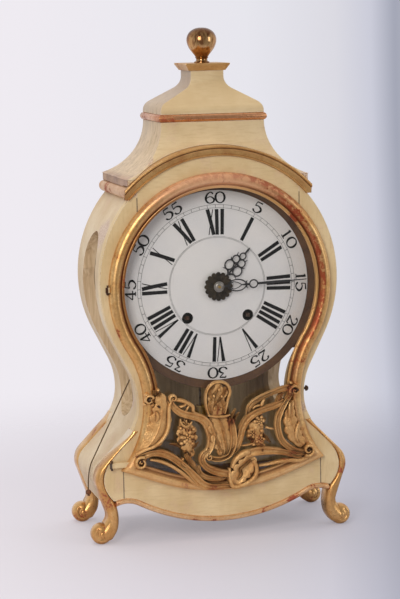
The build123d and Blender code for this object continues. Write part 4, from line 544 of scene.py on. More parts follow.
class Recipe(Nodes):
    """A material's nodes round a principled shader."""

    def __init__(self, name: str) -> None:
        """Starts a material of that name."""
        self.material = bpy.data.materials.new(name)
        self.material.use_nodes = True
        super().__init__(self.material.node_tree)
        self.shader = self.node("BsdfPrincipled")
        self.output = self.node("OutputMaterial", {"Surface": self.shader.outputs[0]})
        self.place = self.node("TexCoord").outputs["Object"]

    def noise(self, scale: float, detail: float = 4.0, rough: float = 0.55, stretch: Sequence[float] = (1, 1, 1),
              warp: float = 0.0) -> NodeSocket:
        """Smooth noise, with scale in features per metre."""
        placed = self.node("Mapping", {"Vector": self.place, "Scale": stretch}).outputs[0]
        return self.node("TexNoise", {"Vector": placed, "Scale": scale, "Detail": detail, "Roughness": rough,
                                      "Distortion": warp}).outputs["Fac"]

    def crackle(self, scale: float) -> NodeSocket:
        """Distance to the nearest crack of a cell pattern."""
        inputs = {"Vector": self.place, "Scale": scale}
        return self.node("TexVoronoi", inputs, feature="DISTANCE_TO_EDGE").outputs["Distance"]

    def spot(self) -> Sequence[NodeSocket]:
        """The piece's own coordinates, one by one."""
        return self.split(self.place)

    def section(self) -> Sequence[NodeSocket]:
        """Where a point lies on a run's section: across, forwards and along."""
        return self.split(self.node("Attribute", attribute_name="section").outputs["Vector"])

    def normal(self) -> Sequence[NodeSocket]:
        """The surface's own normal, one part at a time."""
        return self.split(self.node("NewGeometry").outputs["True Normal"])

    def crevice(self, reach: float) -> NodeSocket:
        """How open the surface is within a reach: 0 deep in a hollow, 1 on open ground."""
        return self.node("AmbientOcclusion", {"Distance": reach}, samples=6, only_local=True).outputs["AO"]

    def edge(self, radius: float) -> NodeSocket:
        """How close a point is to a sharp edge: 1 on the edge."""
        soft = self.node("Bevel", {"Radius": radius}, samples=4).outputs[0]
        hard = self.node("NewGeometry").outputs["Normal"]
        match = self.node("VectorMath", {0: soft, 1: hard}, operation="DOT_PRODUCT")
        return self.fade(match.outputs["Value"], 0.995, 0.86)

    def bump(self, height: NodeSocket, strength: float, depth: float, under: NodeSocket | None = None) -> NodeSocket:
        """A bump from a height, over another bump if one is given."""
        inputs = {"Height": height, "Strength": strength, "Distance": depth}
        return self.node("Bump", inputs | ({"Normal": under} if under is not None else {})).outputs[0]

    def done(self, **values: Value) -> Material:
        """Feeds the shader's sockets, named with underscores, and returns the material."""
        for key, value in values.items():
            self.feed(self.shader.inputs[key.replace("_", " ")], value)
        return self.material


def srgb(red: int, green: int, blue: int) -> Colour:
    """A colour from its screen values."""
    parts = []
    for level in (red, green, blue):
        share = level / 255
        parts.append(share / 12.92 if share <= 0.04045 else ((share + 0.055) / 1.055) ** 2.4)
    return tuple(parts)


@dataclass(frozen=True)
class Gilding:
    """Old gold leaf over red clay, rubbed on the high places, with soiling and painted shade in the hollows."""

    name: str
    leaf: Colour = srgb(214, 164, 92)
    glow: Colour = srgb(232, 190, 122)
    clay: Colour = srgb(146, 66, 38)
    # The colour of soiling and painted shade, used in the hollows and in the door moulding's cove.
    dirt_and_shade: Colour = srgb(74, 44, 24)
    clay_amount: float = 0.42
    shine: float = 0.9
    roughness: float = 0.34
    grain: float = 1.0
    stretch: Triple = (1.0, 1.0, 1.0)
    carved: float = 0.0
    # Whether the leaf gets upright streaks of tarnish and painted reflections.
    tarnish_and_reflections: bool = False

    def make(self, banded: bool = False, painted: bool = False) -> Material:
        """Builds the material.

        Args:
            banded: Whether clay, gold and shadow follow the bands of the door's moulding.
            painted: Whether the outer sides are cream where a leg's gold runs out.
        Returns:
            The material.
        """
        r = Recipe(self.name)
        patches = r.noise(38, 5, 0.62, self.stretch, 0.4)
        fine = r.noise(420, 3, 0.6, self.stretch)
        specks = r.noise(1500, 2, 0.6)
        leaf = r.blend(r.fade(patches, 0.35, 0.68), self.leaf, self.glow)
        leaf = r.blend(r.fade(fine, 0.4, 0.75, 0.0, 0.35), leaf, srgb(160, 108, 52))
        if self.tarnish_and_reflections:
            leaf = self._streaks_and_reflections(r, leaf)
        worn = r.shaken(patches, fine, 0.35)
        edges = r.edge(0.0016)
        worn = r.minus(worn, r.times(edges, 0.10))
        clay = r.fade(worn, self.clay_amount, self.clay_amount - 0.07)
        if banded:
            clay, leaf = self._bands(r, clay, leaf, fine)
        # Ambient occlusion finds the hollows, which are darkened: painted shade, along with soiling there.
        open_ = r.fade(r.crevice(0.0045), 0.25, 0.92)
        colour = r.blend(clay, leaf, r.blend(fine, self.clay, srgb(166, 82, 48)))
        colour = r.blend(r.rest(open_), colour, self.dirt_and_shade)
        rough = r.plus(r.fade(patches, 0.3, 0.7, self.roughness + 0.1, self.roughness - 0.04),
                       r.times(clay, 0.02 if banded else 0.16))
        metal = r.times(r.rest(r.times(clay, 0.35 if banded else 0.75)),
                       r.fade(open_, 0.0, 0.8, 0.25 * self.shine, self.shine))
        if banded:
            x, _, z = r.spot()
            # Painted light: the sill is painted paler and less metallic, so that it reads brighter.
            sill = r.fade(z, 0.112, 0.100)
            metal = r.times(metal, r.rest(r.times(sill, 0.45)))
            colour = r.blend(r.times(sill, 0.35), colour, srgb(232, 184, 128))
            # Painted highlight: the top of the hoop is painted paler and less metallic, fully on the left and faintly
            # on the right.
            crest = r.times(r.fade(z, 0.39, 0.43), r.fade(x, 0.075, 0.0, 0.25, 1.0))
            metal = r.times(metal, r.rest(r.times(crest, 0.5)))
            colour = r.blend(r.times(crest, 0.35), colour, srgb(244, 186, 146))
        if painted:
            cream = self._cream(r, fine)
            colour = r.blend(cream, colour, r.blend(patches, srgb(224, 208, 184), srgb(204, 182, 150)))
            metal = r.times(metal, r.rest(cream))
            rough = r.plus(rough, r.times(cream, 0.14))
        relief = r.bump(patches, 0.25, 0.0006 * self.grain)
        if self.carved:
            relief = r.bump(r.noise(210, 3, 0.6, warp=1.5), 0.7 * self.carved, 0.0014, relief)
        relief = r.bump(fine, 0.35, 0.00016 * self.grain, relief)
        relief = r.bump(specks, 0.3, 0.00005 * self.grain, relief)
        return r.done(Base_Color=colour, Roughness=rough, Metallic=metal, Normal=relief)

    def _streaks_and_reflections(self, r: Recipe, leaf: NodeSocket) -> NodeSocket:
        """Darkens the leaf in upright red-brown streaks, partly tarnish and partly painted reflections of a dark room,
        most of all on the crown of the ball, whose dark top is a painted reflection of a dark ceiling; the lower part
        of the ball is darker too.
        """
        _, _, z = r.spot()
        wide = r.noise(110, 4, 0.7, (1.0, 1.0, 0.3), 0.8)
        thin = r.noise(420, 4, 0.7, (1.0, 1.0, 0.1), 0.5)
        # Upright streaks: red-brown tarnish, and painted reflections of a dark room in the polished ball.
        leaf = r.blend(r.fade(wide, 0.46, 0.6, 0.0, 0.7), leaf, srgb(140, 78, 46))
        leaf = r.blend(r.fade(thin, 0.5, 0.64, 0.0, 0.55), leaf, srgb(104, 66, 38))
        # The darkest crown is a painted reflection of a dark ceiling.
        crown = r.shaken(z, wide, 0.02)
        leaf = r.blend(r.fade(crown, 0.584, 0.597, 0.0, 0.8), leaf, srgb(92, 54, 32))
        # Darker on the lower part of the ball.
        return r.blend(r.fade(crown, 0.574, 0.566, 0.0, 0.5), leaf, srgb(112, 76, 40))

    def _cream(self, r: Recipe, fine: NodeSocket) -> NodeSocket:
        """Where a leg's outer side is painted: behind a gilt edge that widens downwards."""
        nx, _, _ = r.normal()
        x, y, z = r.spot()
        outward = r.fade(r.times(nx, r.sums("SIGN", x)), 0.55, 0.75)
        reach = r.sums("ABSOLUTE", r.minus(y, M.middle * MM))
        depth = r.minus((M.rear + 2.0 - M.middle) * MM, reach)
        front = r.fade(z, 0.132, 0.086, 0.002, 0.030)
        rear = r.plus(r.fade(z, 0.148, 0.112, 0.006, 0.027), r.fade(z, 0.066, 0.044, 0.0, 0.010))
        at_front = r.sums("LESS_THAN", y, M.middle * MM)
        gold = r.plus(r.times(front, at_front), r.times(rear, r.rest(at_front)))
        ragged = r.shaken(r.minus(depth, gold), fine, 0.002)
        return r.times(outward, r.fade(ragged, -0.0004, 0.0012))

    def _bands(self, r: Recipe, clay: NodeSocket, leaf: NodeSocket, fine: NodeSocket) -> tuple[NodeSocket, NodeSocket]:
        """Lays the moulding's bands over the plain gilding: clay where the bole shows, painted shade in the cove and on
        the inner slope, and painted highlights along the top and on the inner lip, which is painted dimmer on the left
        as shade.
        """
        across, _, _ = r.section()
        x, _, z = r.spot()
        soft = r.shaken(across, fine, 0.1)
        mottle = r.noise(150, 5, 0.7, (1.0, 1.0, 1.0), 0.6)
        top = r.fade(z, 0.37, 0.43)
        below_top = r.rest(r.times(top, 0.85))
        at_top = r.times(r.fade(z, 0.36, 0.42), r.fade(soft, 0.55, 0.25), r.fade(x, -0.07, 0.05, 0.35, 0.95))
        right = r.fade(x, 0.02, 0.085)
        on_right = r.times(right, r.fade(soft, 0.34, 0.46), r.fade(soft, 0.80, 0.70),
                           right, r.fade(z, 0.27, 0.16, 1.0, 0.35))
        # The cove's band is painted shade, weaker at the top where light falls from above; red clay is laid into it
        # too.
        cove = r.times(r.fade(soft, 0.66, 0.72), r.fade(soft, 0.83, 0.79), below_top)
        rubbed = r.fade(mottle, 0.40, 0.56, 0.25, 1.0)
        clay = r.sums("MAXIMUM", clay, r.times(r.sums("MAXIMUM", at_top, on_right), rubbed))
        clay = r.sums("MAXIMUM", clay, r.times(cove, 0.45))
        # Painted shade on the inner slope except at the top, then a painted highlight along the top.
        leaf = r.blend(r.times(r.fade(soft, 0.5, 0.66), 0.45, below_top), leaf, srgb(158, 104, 58))
        leaf = r.blend(r.times(top, 0.65), leaf, srgb(238, 182, 142))
        # Painted shade in the cove.
        leaf = r.blend(r.times(cove, 0.7), leaf, self.dirt_and_shade)
        leaf = r.blend(r.fade(mottle, 0.5, 0.7, 0.0, 0.5), leaf, srgb(176, 118, 66))
        # The inner lip is painted bright as a highlight on the right and dimmer on the left as painted shade.
        lip = r.blend(r.fade(x, -0.07, 0.0), srgb(168, 112, 64), srgb(226, 176, 112))
        leaf = r.blend(r.fade(soft, 0.84, 0.9), leaf, lip)
        return clay, leaf


class Tone(Enum):
    """The three tones of the painted wood: base colours and darker colours that random clouds blend in."""

    FRONT = (srgb(226, 202, 158), srgb(208, 180, 132))
    SIDE = (srgb(218, 197, 164), srgb(200, 174, 136))
    ROOF = (srgb(222, 199, 158), srgb(204, 178, 134))


@dataclass(frozen=True)
class AgedPaint:
    """Cream paint on wood, brushed, grimy and with painted shade in the corners, worn through at the edges, and paler
    there as wear and as a painted highlight.
    """

    name: str
    tone: Tone
    spots: tuple[tuple[float, float, float, float], ...] = ()
    bare_slots: bool = False
    sooty_left: bool = False
    seams: tuple[Triple, ...] = ()
    brush: Triple = (1.0, 1.0, 0.12)

    def make(self) -> Material:
        """Builds the material."""
        r = Recipe(self.name)
        base, low = self.tone.value
        clouds = r.noise(16, 4, 0.6)
        strokes = r.noise(420, 3, 0.6, self.brush)
        fine = r.noise(900, 3, 0.6)
        colour = r.blend(r.fade(clouds, 0.3, 0.7), base, low)
        colour = r.blend(r.fade(strokes, 0.45, 0.75, 0.0, 0.3), colour, srgb(178, 146, 102))
        rosy = r.noise(34, 4, 0.65)
        colour = r.blend(r.fade(rosy, 0.54, 0.72, 0.0, 0.35), colour, srgb(208, 172, 146))
        # Edges are painted paler: wear down to the pale ground, and also a painted highlight along them.
        edges = r.shaken(r.edge(0.0022), fine, 1.6)
        worn = r.fade(edges, 0.72, 1.05)
        colour = r.blend(r.times(worn, 0.8), colour, srgb(226, 214, 196))
        chips = r.fade(r.plus(edges, r.minus(rosy, 0.62)), 1.0, 1.15)
        colour = r.blend(chips, colour, srgb(140, 84, 56))
        for x, y, z, radius in self.spots:
            colour = self._spot(r, colour, (x, y, z), radius, fine, rosy)
        # Ambient occlusion darkens the corners: painted shade, along with soiling there.
        grime_and_shade = r.fade(r.crevice(0.008), 0.35, 0.95, 0.75, 0.0)
        colour = r.blend(r.times(grime_and_shade, r.fade(clouds, 0.2, 0.6, 0.6, 1.0)), colour, srgb(120, 94, 62))
        cracks = r.fade(r.crackle(130), 0.012, 0.0)
        colour = r.blend(r.times(cracks, r.fade(rosy, 0.5, 0.7, 0.0, 0.3)), colour, srgb(130, 108, 74))
        for x, low_z, high_z in self.seams:
            colour = self._seam(r, colour, x, low_z, high_z, fine)
        if self.sooty_left:
            colour = self._sooty_side(r, colour, rosy, fine)
        if self.bare_slots:
            colour = self._bare_wood(r, colour)
        relief = r.bump(strokes, 0.3, 0.00018)
        relief = r.bump(clouds, 0.2, 0.0012, relief)
        relief = r.bump(r.minus(fine, r.times(chips, 0.8)), 0.25, 0.00012, relief)
        rough = r.fade(clouds, 0.25, 0.75, 0.42, 0.56)
        return r.done(Base_Color=colour, Roughness=rough, Normal=relief, Specular_IOR_Level=0.42)

    def _spot(self, r: Recipe, colour: NodeSocket, at: Sequence[float], radius: float, fine: NodeSocket,
              rosy: NodeSocket) -> NodeSocket:
        """Wears the paint down to its ground round one point."""
        far = r.node("VectorMath", {0: r.place, 1: at}, operation="DISTANCE").outputs["Value"]
        ragged = r.shaken(far, rosy, 2.2 * radius)
        share = r.fade(ragged, radius, 0.55 * radius)
        ground = r.blend(r.fade(fine, 0.45, 0.6), srgb(212, 190, 172), srgb(168, 130, 104))
        return r.blend(r.times(share, 0.85), colour, ground)

    def _seam(self, r: Recipe, colour: NodeSocket, at: float, low: float, high: float, fine: NodeSocket) -> NodeSocket:
        """Opens the thin dark joint between two front boards, on both sides of the middle."""
        x, _, z = r.spot()
        wavy = r.shaken(r.sums("ABSOLUTE", x), fine, 0.0008)
        off = r.sums("ABSOLUTE", r.minus(wavy, at))
        line = r.times(r.fade(off, 0.0009, 0.0003), r.fade(z, low, low + 0.002), r.fade(z, high, high - 0.002))
        return r.blend(r.times(line, 0.85), colour, srgb(74, 54, 36))

    def _sooty_side(self, r: Recipe, colour: NodeSocket, rosy: NodeSocket, fine: NodeSocket) -> NodeSocket:
        """Greys the left side with rubbed, streaky soot, thickest on its lowest board, and paints shade in a band round
        the upper bell on every side.
        """
        nx, _, _ = r.normal()
        _, _, z = r.spot()
        left = r.fade(nx, -0.12, -0.34)
        streaks = r.noise(150, 5, 0.7, (1.0, 1.0, 0.2), 0.8)
        dull = r.blend(r.fade(streaks, 0.35, 0.65), srgb(210, 186, 156), srgb(184, 160, 130))
        dull = r.blend(r.fade(z, 0.50, 0.53, 0.0, 0.7), dull, srgb(160, 140, 128))
        # Painted shade: a band round the upper bell is darkened on every side, and greyed further on the left.
        bell = r.times(r.fade(z, 0.500, 0.508), r.fade(z, 0.540, 0.526))
        colour = r.blend(r.times(bell, r.fade(rosy, 0.3, 0.7, 0.45, 0.8)), colour, srgb(198, 170, 126))
        dull = r.blend(r.times(bell, 0.5), dull, srgb(166, 146, 126))
        low = r.fade(z, 0.433, 0.427)
        dull = r.blend(low, dull, r.blend(r.fade(rosy, 0.35, 0.65), srgb(176, 138, 112), srgb(138, 104, 84)))
        colour = r.blend(r.times(left, r.fade(rosy, 0.2, 0.7, 0.75, 0.95)), colour, dull)
        scratched = r.plus(r.times(streaks, 0.8), r.times(fine, 0.35))
        dark = r.times(left, r.fade(scratched, 0.66, 0.76, 0.0, 0.6))
        return r.blend(dark, colour, srgb(112, 86, 66))

    def _bare_wood(self, r: Recipe, colour: NodeSocket) -> NodeSocket:
        """Leaves the cut and inner faces of a board unpainted."""
        nx, _, _ = r.normal()
        x, _, _ = r.spot()
        side = r.times(nx, r.sums("SIGN", x))
        inner = r.fade(side, 0.5, 0.4)
        grain = r.noise(160, 5, 0.65, (1.0, 1.0, 0.08), 1.2)
        wood = r.ramp(grain, ((0.3, srgb(184, 150, 112)), (0.5, srgb(218, 190, 152)), (0.7, srgb(234, 210, 176))))
        return r.blend(inner, colour, wood)


@dataclass(frozen=True)
class Timber:
    """Plain unpainted wood, with its grain along one direction."""

    name: str
    dark: Colour = srgb(74, 46, 26)
    light: Colour = srgb(138, 98, 60)
    along: Triple = (1.0, 1.0, 0.06)
    weathered_back: bool = False

    def make(self) -> Material:
        """Builds the material."""
        r = Recipe(self.name)
        grain = r.noise(140, 6, 0.65, self.along, 1.4)
        pores = r.noise(1400, 3, 0.6, self.along)
        age = r.noise(22, 3, 0.6)
        colour = r.ramp(grain, ((0.28, self.dark), (0.5, tuple((a + b) / 2 for a, b in zip(self.dark, self.light))),
                                (0.72, self.light)))
        colour = r.blend(r.fade(age, 0.45, 0.75, 0.0, 0.45), colour, self.dark)
        if self.weathered_back:
            _, ny, _ = r.normal()
            outside = r.ramp(grain, ((0.28, srgb(112, 80, 52)), (0.5, srgb(150, 112, 76)), (0.72, srgb(178, 140, 100))))
            colour = r.blend(r.fade(ny, 0.4, 0.6), colour, outside)
        colour = r.blend(r.fade(pores, 0.6, 0.72, 0.0, 0.5), colour, tuple(0.4 * part for part in self.dark))
        # Ambient occlusion darkens the hollows: painted shade, along with soiling there.
        grime_and_shade = r.fade(r.crevice(0.012), 0.3, 0.9, 0.6, 0.0)
        colour = r.blend(grime_and_shade, colour, srgb(40, 26, 16))
        relief = r.bump(pores, 0.3, 0.0002, r.bump(grain, 0.25, 0.0004))
        return r.done(Base_Color=colour, Roughness=r.fade(grain, 0.3, 0.7, 0.62, 0.78), Normal=relief)


@dataclass(frozen=True)
class Metal:
    """A plain metal with stains, fine scratches, and soiling and painted shade in its hollows; it can also be painted
    black round given points as shade.
    """

    name: str
    colour: Colour
    stain: Colour
    roughness: float = 0.3
    stained: float = 0.5
    shine: float = 1.0
    painted_within: float = 0.0
    # Points round which the metal is painted black as shade, and how far that reaches.
    painted_shade_at: tuple[tuple[float, float], ...] = ()
    painted_shade_r: float = 0.014

    def make(self) -> Material:
        """Builds the material."""
        r = Recipe(self.name)
        clouds = r.noise(90, 4, 0.6)
        fine = r.noise(1600, 3, 0.6, (1.0, 1.0, 0.3))
        colour = r.blend(r.fade(clouds, 0.62 - 0.3 * self.stained, 0.8 - 0.2 * self.stained), self.colour, self.stain)
        # Ambient occlusion darkens the hollows: painted shade, along with soiling there.
        grime_and_shade = r.fade(r.crevice(0.002), 0.3, 0.85, 0.7, 0.0)
        colour = r.blend(grime_and_shade, colour, tuple(0.3 * part for part in self.stain))
        rough = r.plus(r.fade(clouds, 0.3, 0.75, self.roughness, self.roughness + 0.2), r.times(fine, 0.06))
        relief = r.bump(fine, 0.2, 0.00004)
        shine: NodeSocket | float = self.shine
        # Painted shade: black round each given point, where a deep hole is dark.
        for at_x, at_z in self.painted_shade_at:
            x, _, z = r.spot()
            off = r.plus(r.sums("ABSOLUTE", r.minus(x, at_x)), r.sums("ABSOLUTE", r.minus(z, at_z)))
            colour = r.blend(r.fade(off, self.painted_shade_r + 0.003, self.painted_shade_r), colour, srgb(16, 14, 12))
        if self.painted_within:
            x, _, _ = r.spot()
            limit = self.painted_within
            bare = r.fade(r.plus(r.sums("ABSOLUTE", x), r.times(clouds, 0.002)), limit, limit + 0.001)
            colour = r.blend(bare, r.blend(clouds, Tone.FRONT.value[0], Tone.FRONT.value[1]), colour)
            shine = r.times(bare, self.shine)
            rough = r.sums("MAXIMUM", rough, r.minus(0.5, r.times(bare, 0.5)))
        return r.done(Base_Color=colour, Metallic=shine, Roughness=rough, Normal=relief)


@dataclass(frozen=True)
class Enamel:
    """Fired white enamel, faintly grey, with a glassy coat."""

    name: str
    colour: Colour = srgb(240, 235, 232)

    def make(self) -> Material:
        """Builds the material."""
        r = Recipe(self.name)
        clouds = r.noise(9, 3, 0.6)
        dust = r.noise(700, 3, 0.7)
        colour = r.blend(r.fade(clouds, 0.35, 0.7), self.colour, srgb(230, 227, 227))
        colour = r.blend(r.fade(dust, 0.66, 0.78, 0.0, 0.35), colour, srgb(150, 140, 128))
        cracks = r.fade(r.crackle(14), 0.0012, 0.0, 0.0, 0.22)
        colour = r.blend(cracks, colour, srgb(140, 132, 124))
        relief = r.bump(r.noise(60, 2, 0.5), 0.1, 0.0003)
        rough = r.fade(dust, 0.3, 0.8, 0.2, 0.34)
        return r.done(Base_Color=colour, Roughness=rough, Normal=relief, Specular_IOR_Level=0.5,
                      Coat_Weight=0.3, Coat_Roughness=0.08)


@dataclass(frozen=True)
class Ink:
    """Black fired paint, or blackened steel."""

    name: str
    colour: Colour = srgb(26, 25, 28)
    roughness: float = 0.35
    gloss: float = 0.5

    def make(self) -> Material:
        """Builds the material."""
        r = Recipe(self.name)
        clouds = r.noise(220, 4, 0.65)
        colour = r.blend(r.fade(clouds, 0.5, 0.8), self.colour, tuple(part + 0.03 * self.gloss for part in self.colour))
        rough = r.fade(clouds, 0.3, 0.8, self.roughness, self.roughness + 0.2)
        return r.done(Base_Color=colour, Roughness=rough, Normal=r.bump(clouds, 0.1, 0.00005),
                      Specular_IOR_Level=self.gloss)


@dataclass(frozen=True)
class WindowGlass:
    """Thin clear glass that keeps its light and its shadows plain."""

    name: str

    def make(self) -> Material:
        """Builds the material."""
        r = Recipe(self.name)
        wave = r.noise(14, 2, 0.5)
        clear = r.node("BsdfTransparent", {"Color": (0.985, 0.988, 0.986)}).outputs[0]
        shiny = r.node("BsdfGlossy", {"Roughness": 0.02, "Normal": r.bump(wave, 0.05, 0.001)}).outputs[0]
        steep = r.sums("POWER", r.node("LayerWeight", {"Blend": 0.5}).outputs["Facing"], 5.0)
        bounce = r.times(r.plus(r.times(steep, 0.92), 0.045), r.fade(wave, 0.3, 0.8, 0.8, 1.0))
        both = r.node("MixShader", {0: bounce, 1: clear, 2: shiny})
        r.feed(r.output.inputs["Surface"], both.outputs[0])
        return r.material


@dataclass(frozen=True)
class Thread:
    """Twisted linen thread, darkened with age."""

    name: str

    def make(self) -> Material:
        """Builds the material."""
        r = Recipe(self.name)
        twist = r.node("TexWave", {"Vector": r.place, "Scale": 330, "Distortion": 1.5}, wave_type="BANDS",
                       bands_direction="DIAGONAL").outputs["Fac"]
        fluff = r.noise(2200, 3, 0.7)
        colour = r.blend(twist, srgb(70, 54, 38), srgb(112, 90, 64))
        colour = r.blend(r.fade(fluff, 0.5, 0.8, 0.0, 0.5), colour, srgb(140, 118, 90))
        return r.done(Base_Color=colour, Roughness=0.9, Normal=r.bump(twist, 0.5, 0.0003))


class Finishes:
    """Every material of the clock, made once."""

    def __init__(self) -> None:
        """Builds each material under the name that the sub-assemblies use."""
        self._gold()
        self._paint()
        self._metals()
        self.case_wood = Timber("case_wood", srgb(158, 132, 92), srgb(218, 192, 146), weathered_back=True).make()
        self.shelf_wood = Timber("shelf_wood", along=(0.06, 1.0, 1.0)).make()
        self.dial_back_wood = Timber("dial_back_wood", srgb(70, 44, 26), srgb(122, 84, 52), (0.2, 1.0, 0.2)).make()
        self.bead_wood = Timber("bead_wood", srgb(62, 36, 22), srgb(122, 74, 44), (1, 1, 0.4)).make()
        self.black_steel = Ink("black_steel", roughness=0.38).make()
        self.numeral_ink = Ink("numeral_ink", srgb(14, 14, 17), 0.5, 0.15).make()
        self.enamel = Enamel("white_enamel").make()
        self.glass = WindowGlass("window_glass").make()
        self.thread = Thread("cord_thread").make()

    def _gold(self) -> None:
        """The gilded finishes."""
        self.door_gold = Gilding(
            "door_gilding", srgb(218, 168, 104), srgb(236, 194, 134), srgb(148, 58, 28), clay_amount=0.38,
            roughness=0.35).make(banded=True)
        self.carved_gold = Gilding(
            "carved_gilding", srgb(204, 152, 92), srgb(232, 186, 124), srgb(142, 76, 44), clay_amount=0.345,
            shine=0.62, roughness=0.42, grain=1.6, carved=1.0).make()
        self.dark_gold = Gilding(
            "dark_gilding", srgb(192, 144, 88), srgb(216, 172, 112), clay_amount=0.36, shine=0.62,
            roughness=0.38).make()
        self.rosy_gold = Gilding(
            "rosy_gilding", srgb(206, 162, 122), srgb(222, 184, 146), clay_amount=0.44, shine=0.5,
            roughness=0.44).make()
        self.bead_gold = Gilding(
            "bead_gilding", srgb(206, 140, 96), srgb(232, 172, 128), srgb(164, 84, 54), roughness=0.24).make()
        self.apron_gold = Gilding(
            "apron_gilding", srgb(230, 178, 126), srgb(246, 206, 158), clay_amount=0.44, shine=0.72,
            roughness=0.32).make()
        self.leg_gold = Gilding(
            "leg_gilding", srgb(210, 158, 96), srgb(234, 188, 126), srgb(156, 78, 48), clay_amount=0.385,
            roughness=0.28).make(painted=True)
        self.finial_gold = Gilding(
            "finial_gilding", srgb(198, 148, 96), srgb(228, 184, 130), srgb(112, 62, 36), clay_amount=0.30, shine=1.0,
            roughness=0.2, grain=0.4, stretch=(1.0, 1.0, 0.16), tarnish_and_reflections=True).make()

    def _paint(self) -> None:
        """The painted finishes."""
        seams = ((0.098, 0.37, 0.408), (0.1215, 0.04, 0.092))
        level, upright = (0.12, 1.0, 1.0), (0.12, 0.12, 1.0)
        self.front_paint = AgedPaint("front_paint", Tone.FRONT, seams=seams, brush=level).make()
        self.stile_paint = AgedPaint("stile_paint", Tone.FRONT, (
            (0.1005, -0.056, 0.150, 0.009), (-0.101, -0.058, 0.42, 0.012)), seams=seams).make()
        self.side_paint = AgedPaint("side_paint", Tone.SIDE, (
            (-0.101, -0.02, 0.166, 0.012), (-0.135, -0.02, 0.365, 0.022), (-0.150, -0.045, 0.30, 0.010)),
            bare_slots=True).make()
        self.roof_paint = AgedPaint("roof_paint", Tone.ROOF, (
            (-0.109, -0.045, 0.423, 0.018), (-0.109, 0.0, 0.423, 0.016), (-0.080, -0.055, 0.452, 0.010),
            (0.109, -0.06, 0.424, 0.012), (-0.064, -0.03, 0.51, 0.008)), sooty_left=True, brush=upright).make()

    def _metals(self) -> None:
        """The bare and stained metals."""
        yellow, yellow_stain = srgb(206, 170, 96), srgb(150, 108, 54)
        grey, rust = srgb(92, 80, 70), srgb(74, 44, 28)
        # The winding holes, behind which the front plate is painted black as shade.
        holes = ((0.037, 0.2615), (-0.037, 0.2615))
        self.brass = Metal("movement_brass", yellow, yellow_stain, 0.28).make()
        self.plate_brass = Metal("plate_brass", yellow, yellow_stain, 0.28, painted_shade_at=holes).make()
        self.steel = Metal("movement_steel", srgb(150, 148, 146), grey, 0.34).make()
        self.rusty_steel = Metal("rusty_steel", grey, rust, 0.5, 0.9, 0.7).make()
        self.hinge_steel = Metal("hinge_steel", grey, rust, 0.5, 0.9, 0.7, 0.1365).make()
        self.bronze = Metal("dark_bronze", srgb(72, 60, 44), srgb(42, 34, 26), 0.42, 0.7, 0.8).make()
        self.nut_steel = Metal("nut_steel", srgb(176, 170, 164), srgb(110, 102, 94), 0.3, 0.4).make()
        self.bell_metal = Metal("bell_metal", srgb(190, 164, 112), srgb(126, 98, 60), 0.34).make()


# ------------------------------------------------------------------ sub-assemblies
@dataclass
class Boards:
    """The nodes that keep their own shape: boards, roof, movement and fittings."""

    finishes: Finishes

    def dress(self) -> None:
        """Gives each node its finish, and its sharp edges a round of the width that stands beside it."""
        f = self.finishes
        plans: list[tuple[Material, float, tuple[str, ...]]] = [
            (f.front_paint, 0.6, ("front_arch", "front_apron")),
            (f.stile_paint, 0.8, ("front_stile_left", "front_stile_right")),
            (f.roof_paint, 0.9, ("roof_fascia", "roof_cove", "roof_bell")),
            (f.bead_gold, 0.5, ("roof_bead",)),
            (f.dark_gold, 0.6, ("cap_slab",)),
            (f.case_wood, 0.6, ("backboard",)),
            (f.shelf_wood, 0.5, ("bottom_board", "top_board", "seat_board")),
            (f.dial_back_wood, 0.5, ("dial_ring",)),
            (f.plate_brass, 0.15, ("front_plate",)),
            (f.brass, 0.15, ("back_plate", "plate_pillars", "pendulum_cock", "cannon_pinion", "minute_wheel",
                             "hour_wheel", "going_barrel", "intermediate_wheel", "centre_wheel", "third_wheel",
                             "escape_wheel", "strike_barrel", "pendulum_bob")),
            (f.rusty_steel, 0.15, ("going_winding_arbor", "strike_winding_arbor")),
            (f.steel, 0.15, ("bell_stand", "pallets", "pendulum_rod", "hammer")),
            (f.rusty_steel, 0.2, ("hinge_pins", "ornament_nails", "catch_button", "cord_eye")),
            (f.hinge_steel, 0.2, ("door_fittings",)),
            (f.bell_metal, 0.3, ("bell",)),
            (f.enamel, 0.0, ("dial",)),
            (f.glass, 0.0, ("door_glass",)),
        ]
        for finish, width, names in plans:
            for node in (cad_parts[name] for name in names):
                node.data.materials.clear()
                node.data.materials.append(finish)
                if width:
                    node.modifiers.new("weld", "WELD").merge_threshold = WELDED_WITHIN
                    round_edges(node, width)


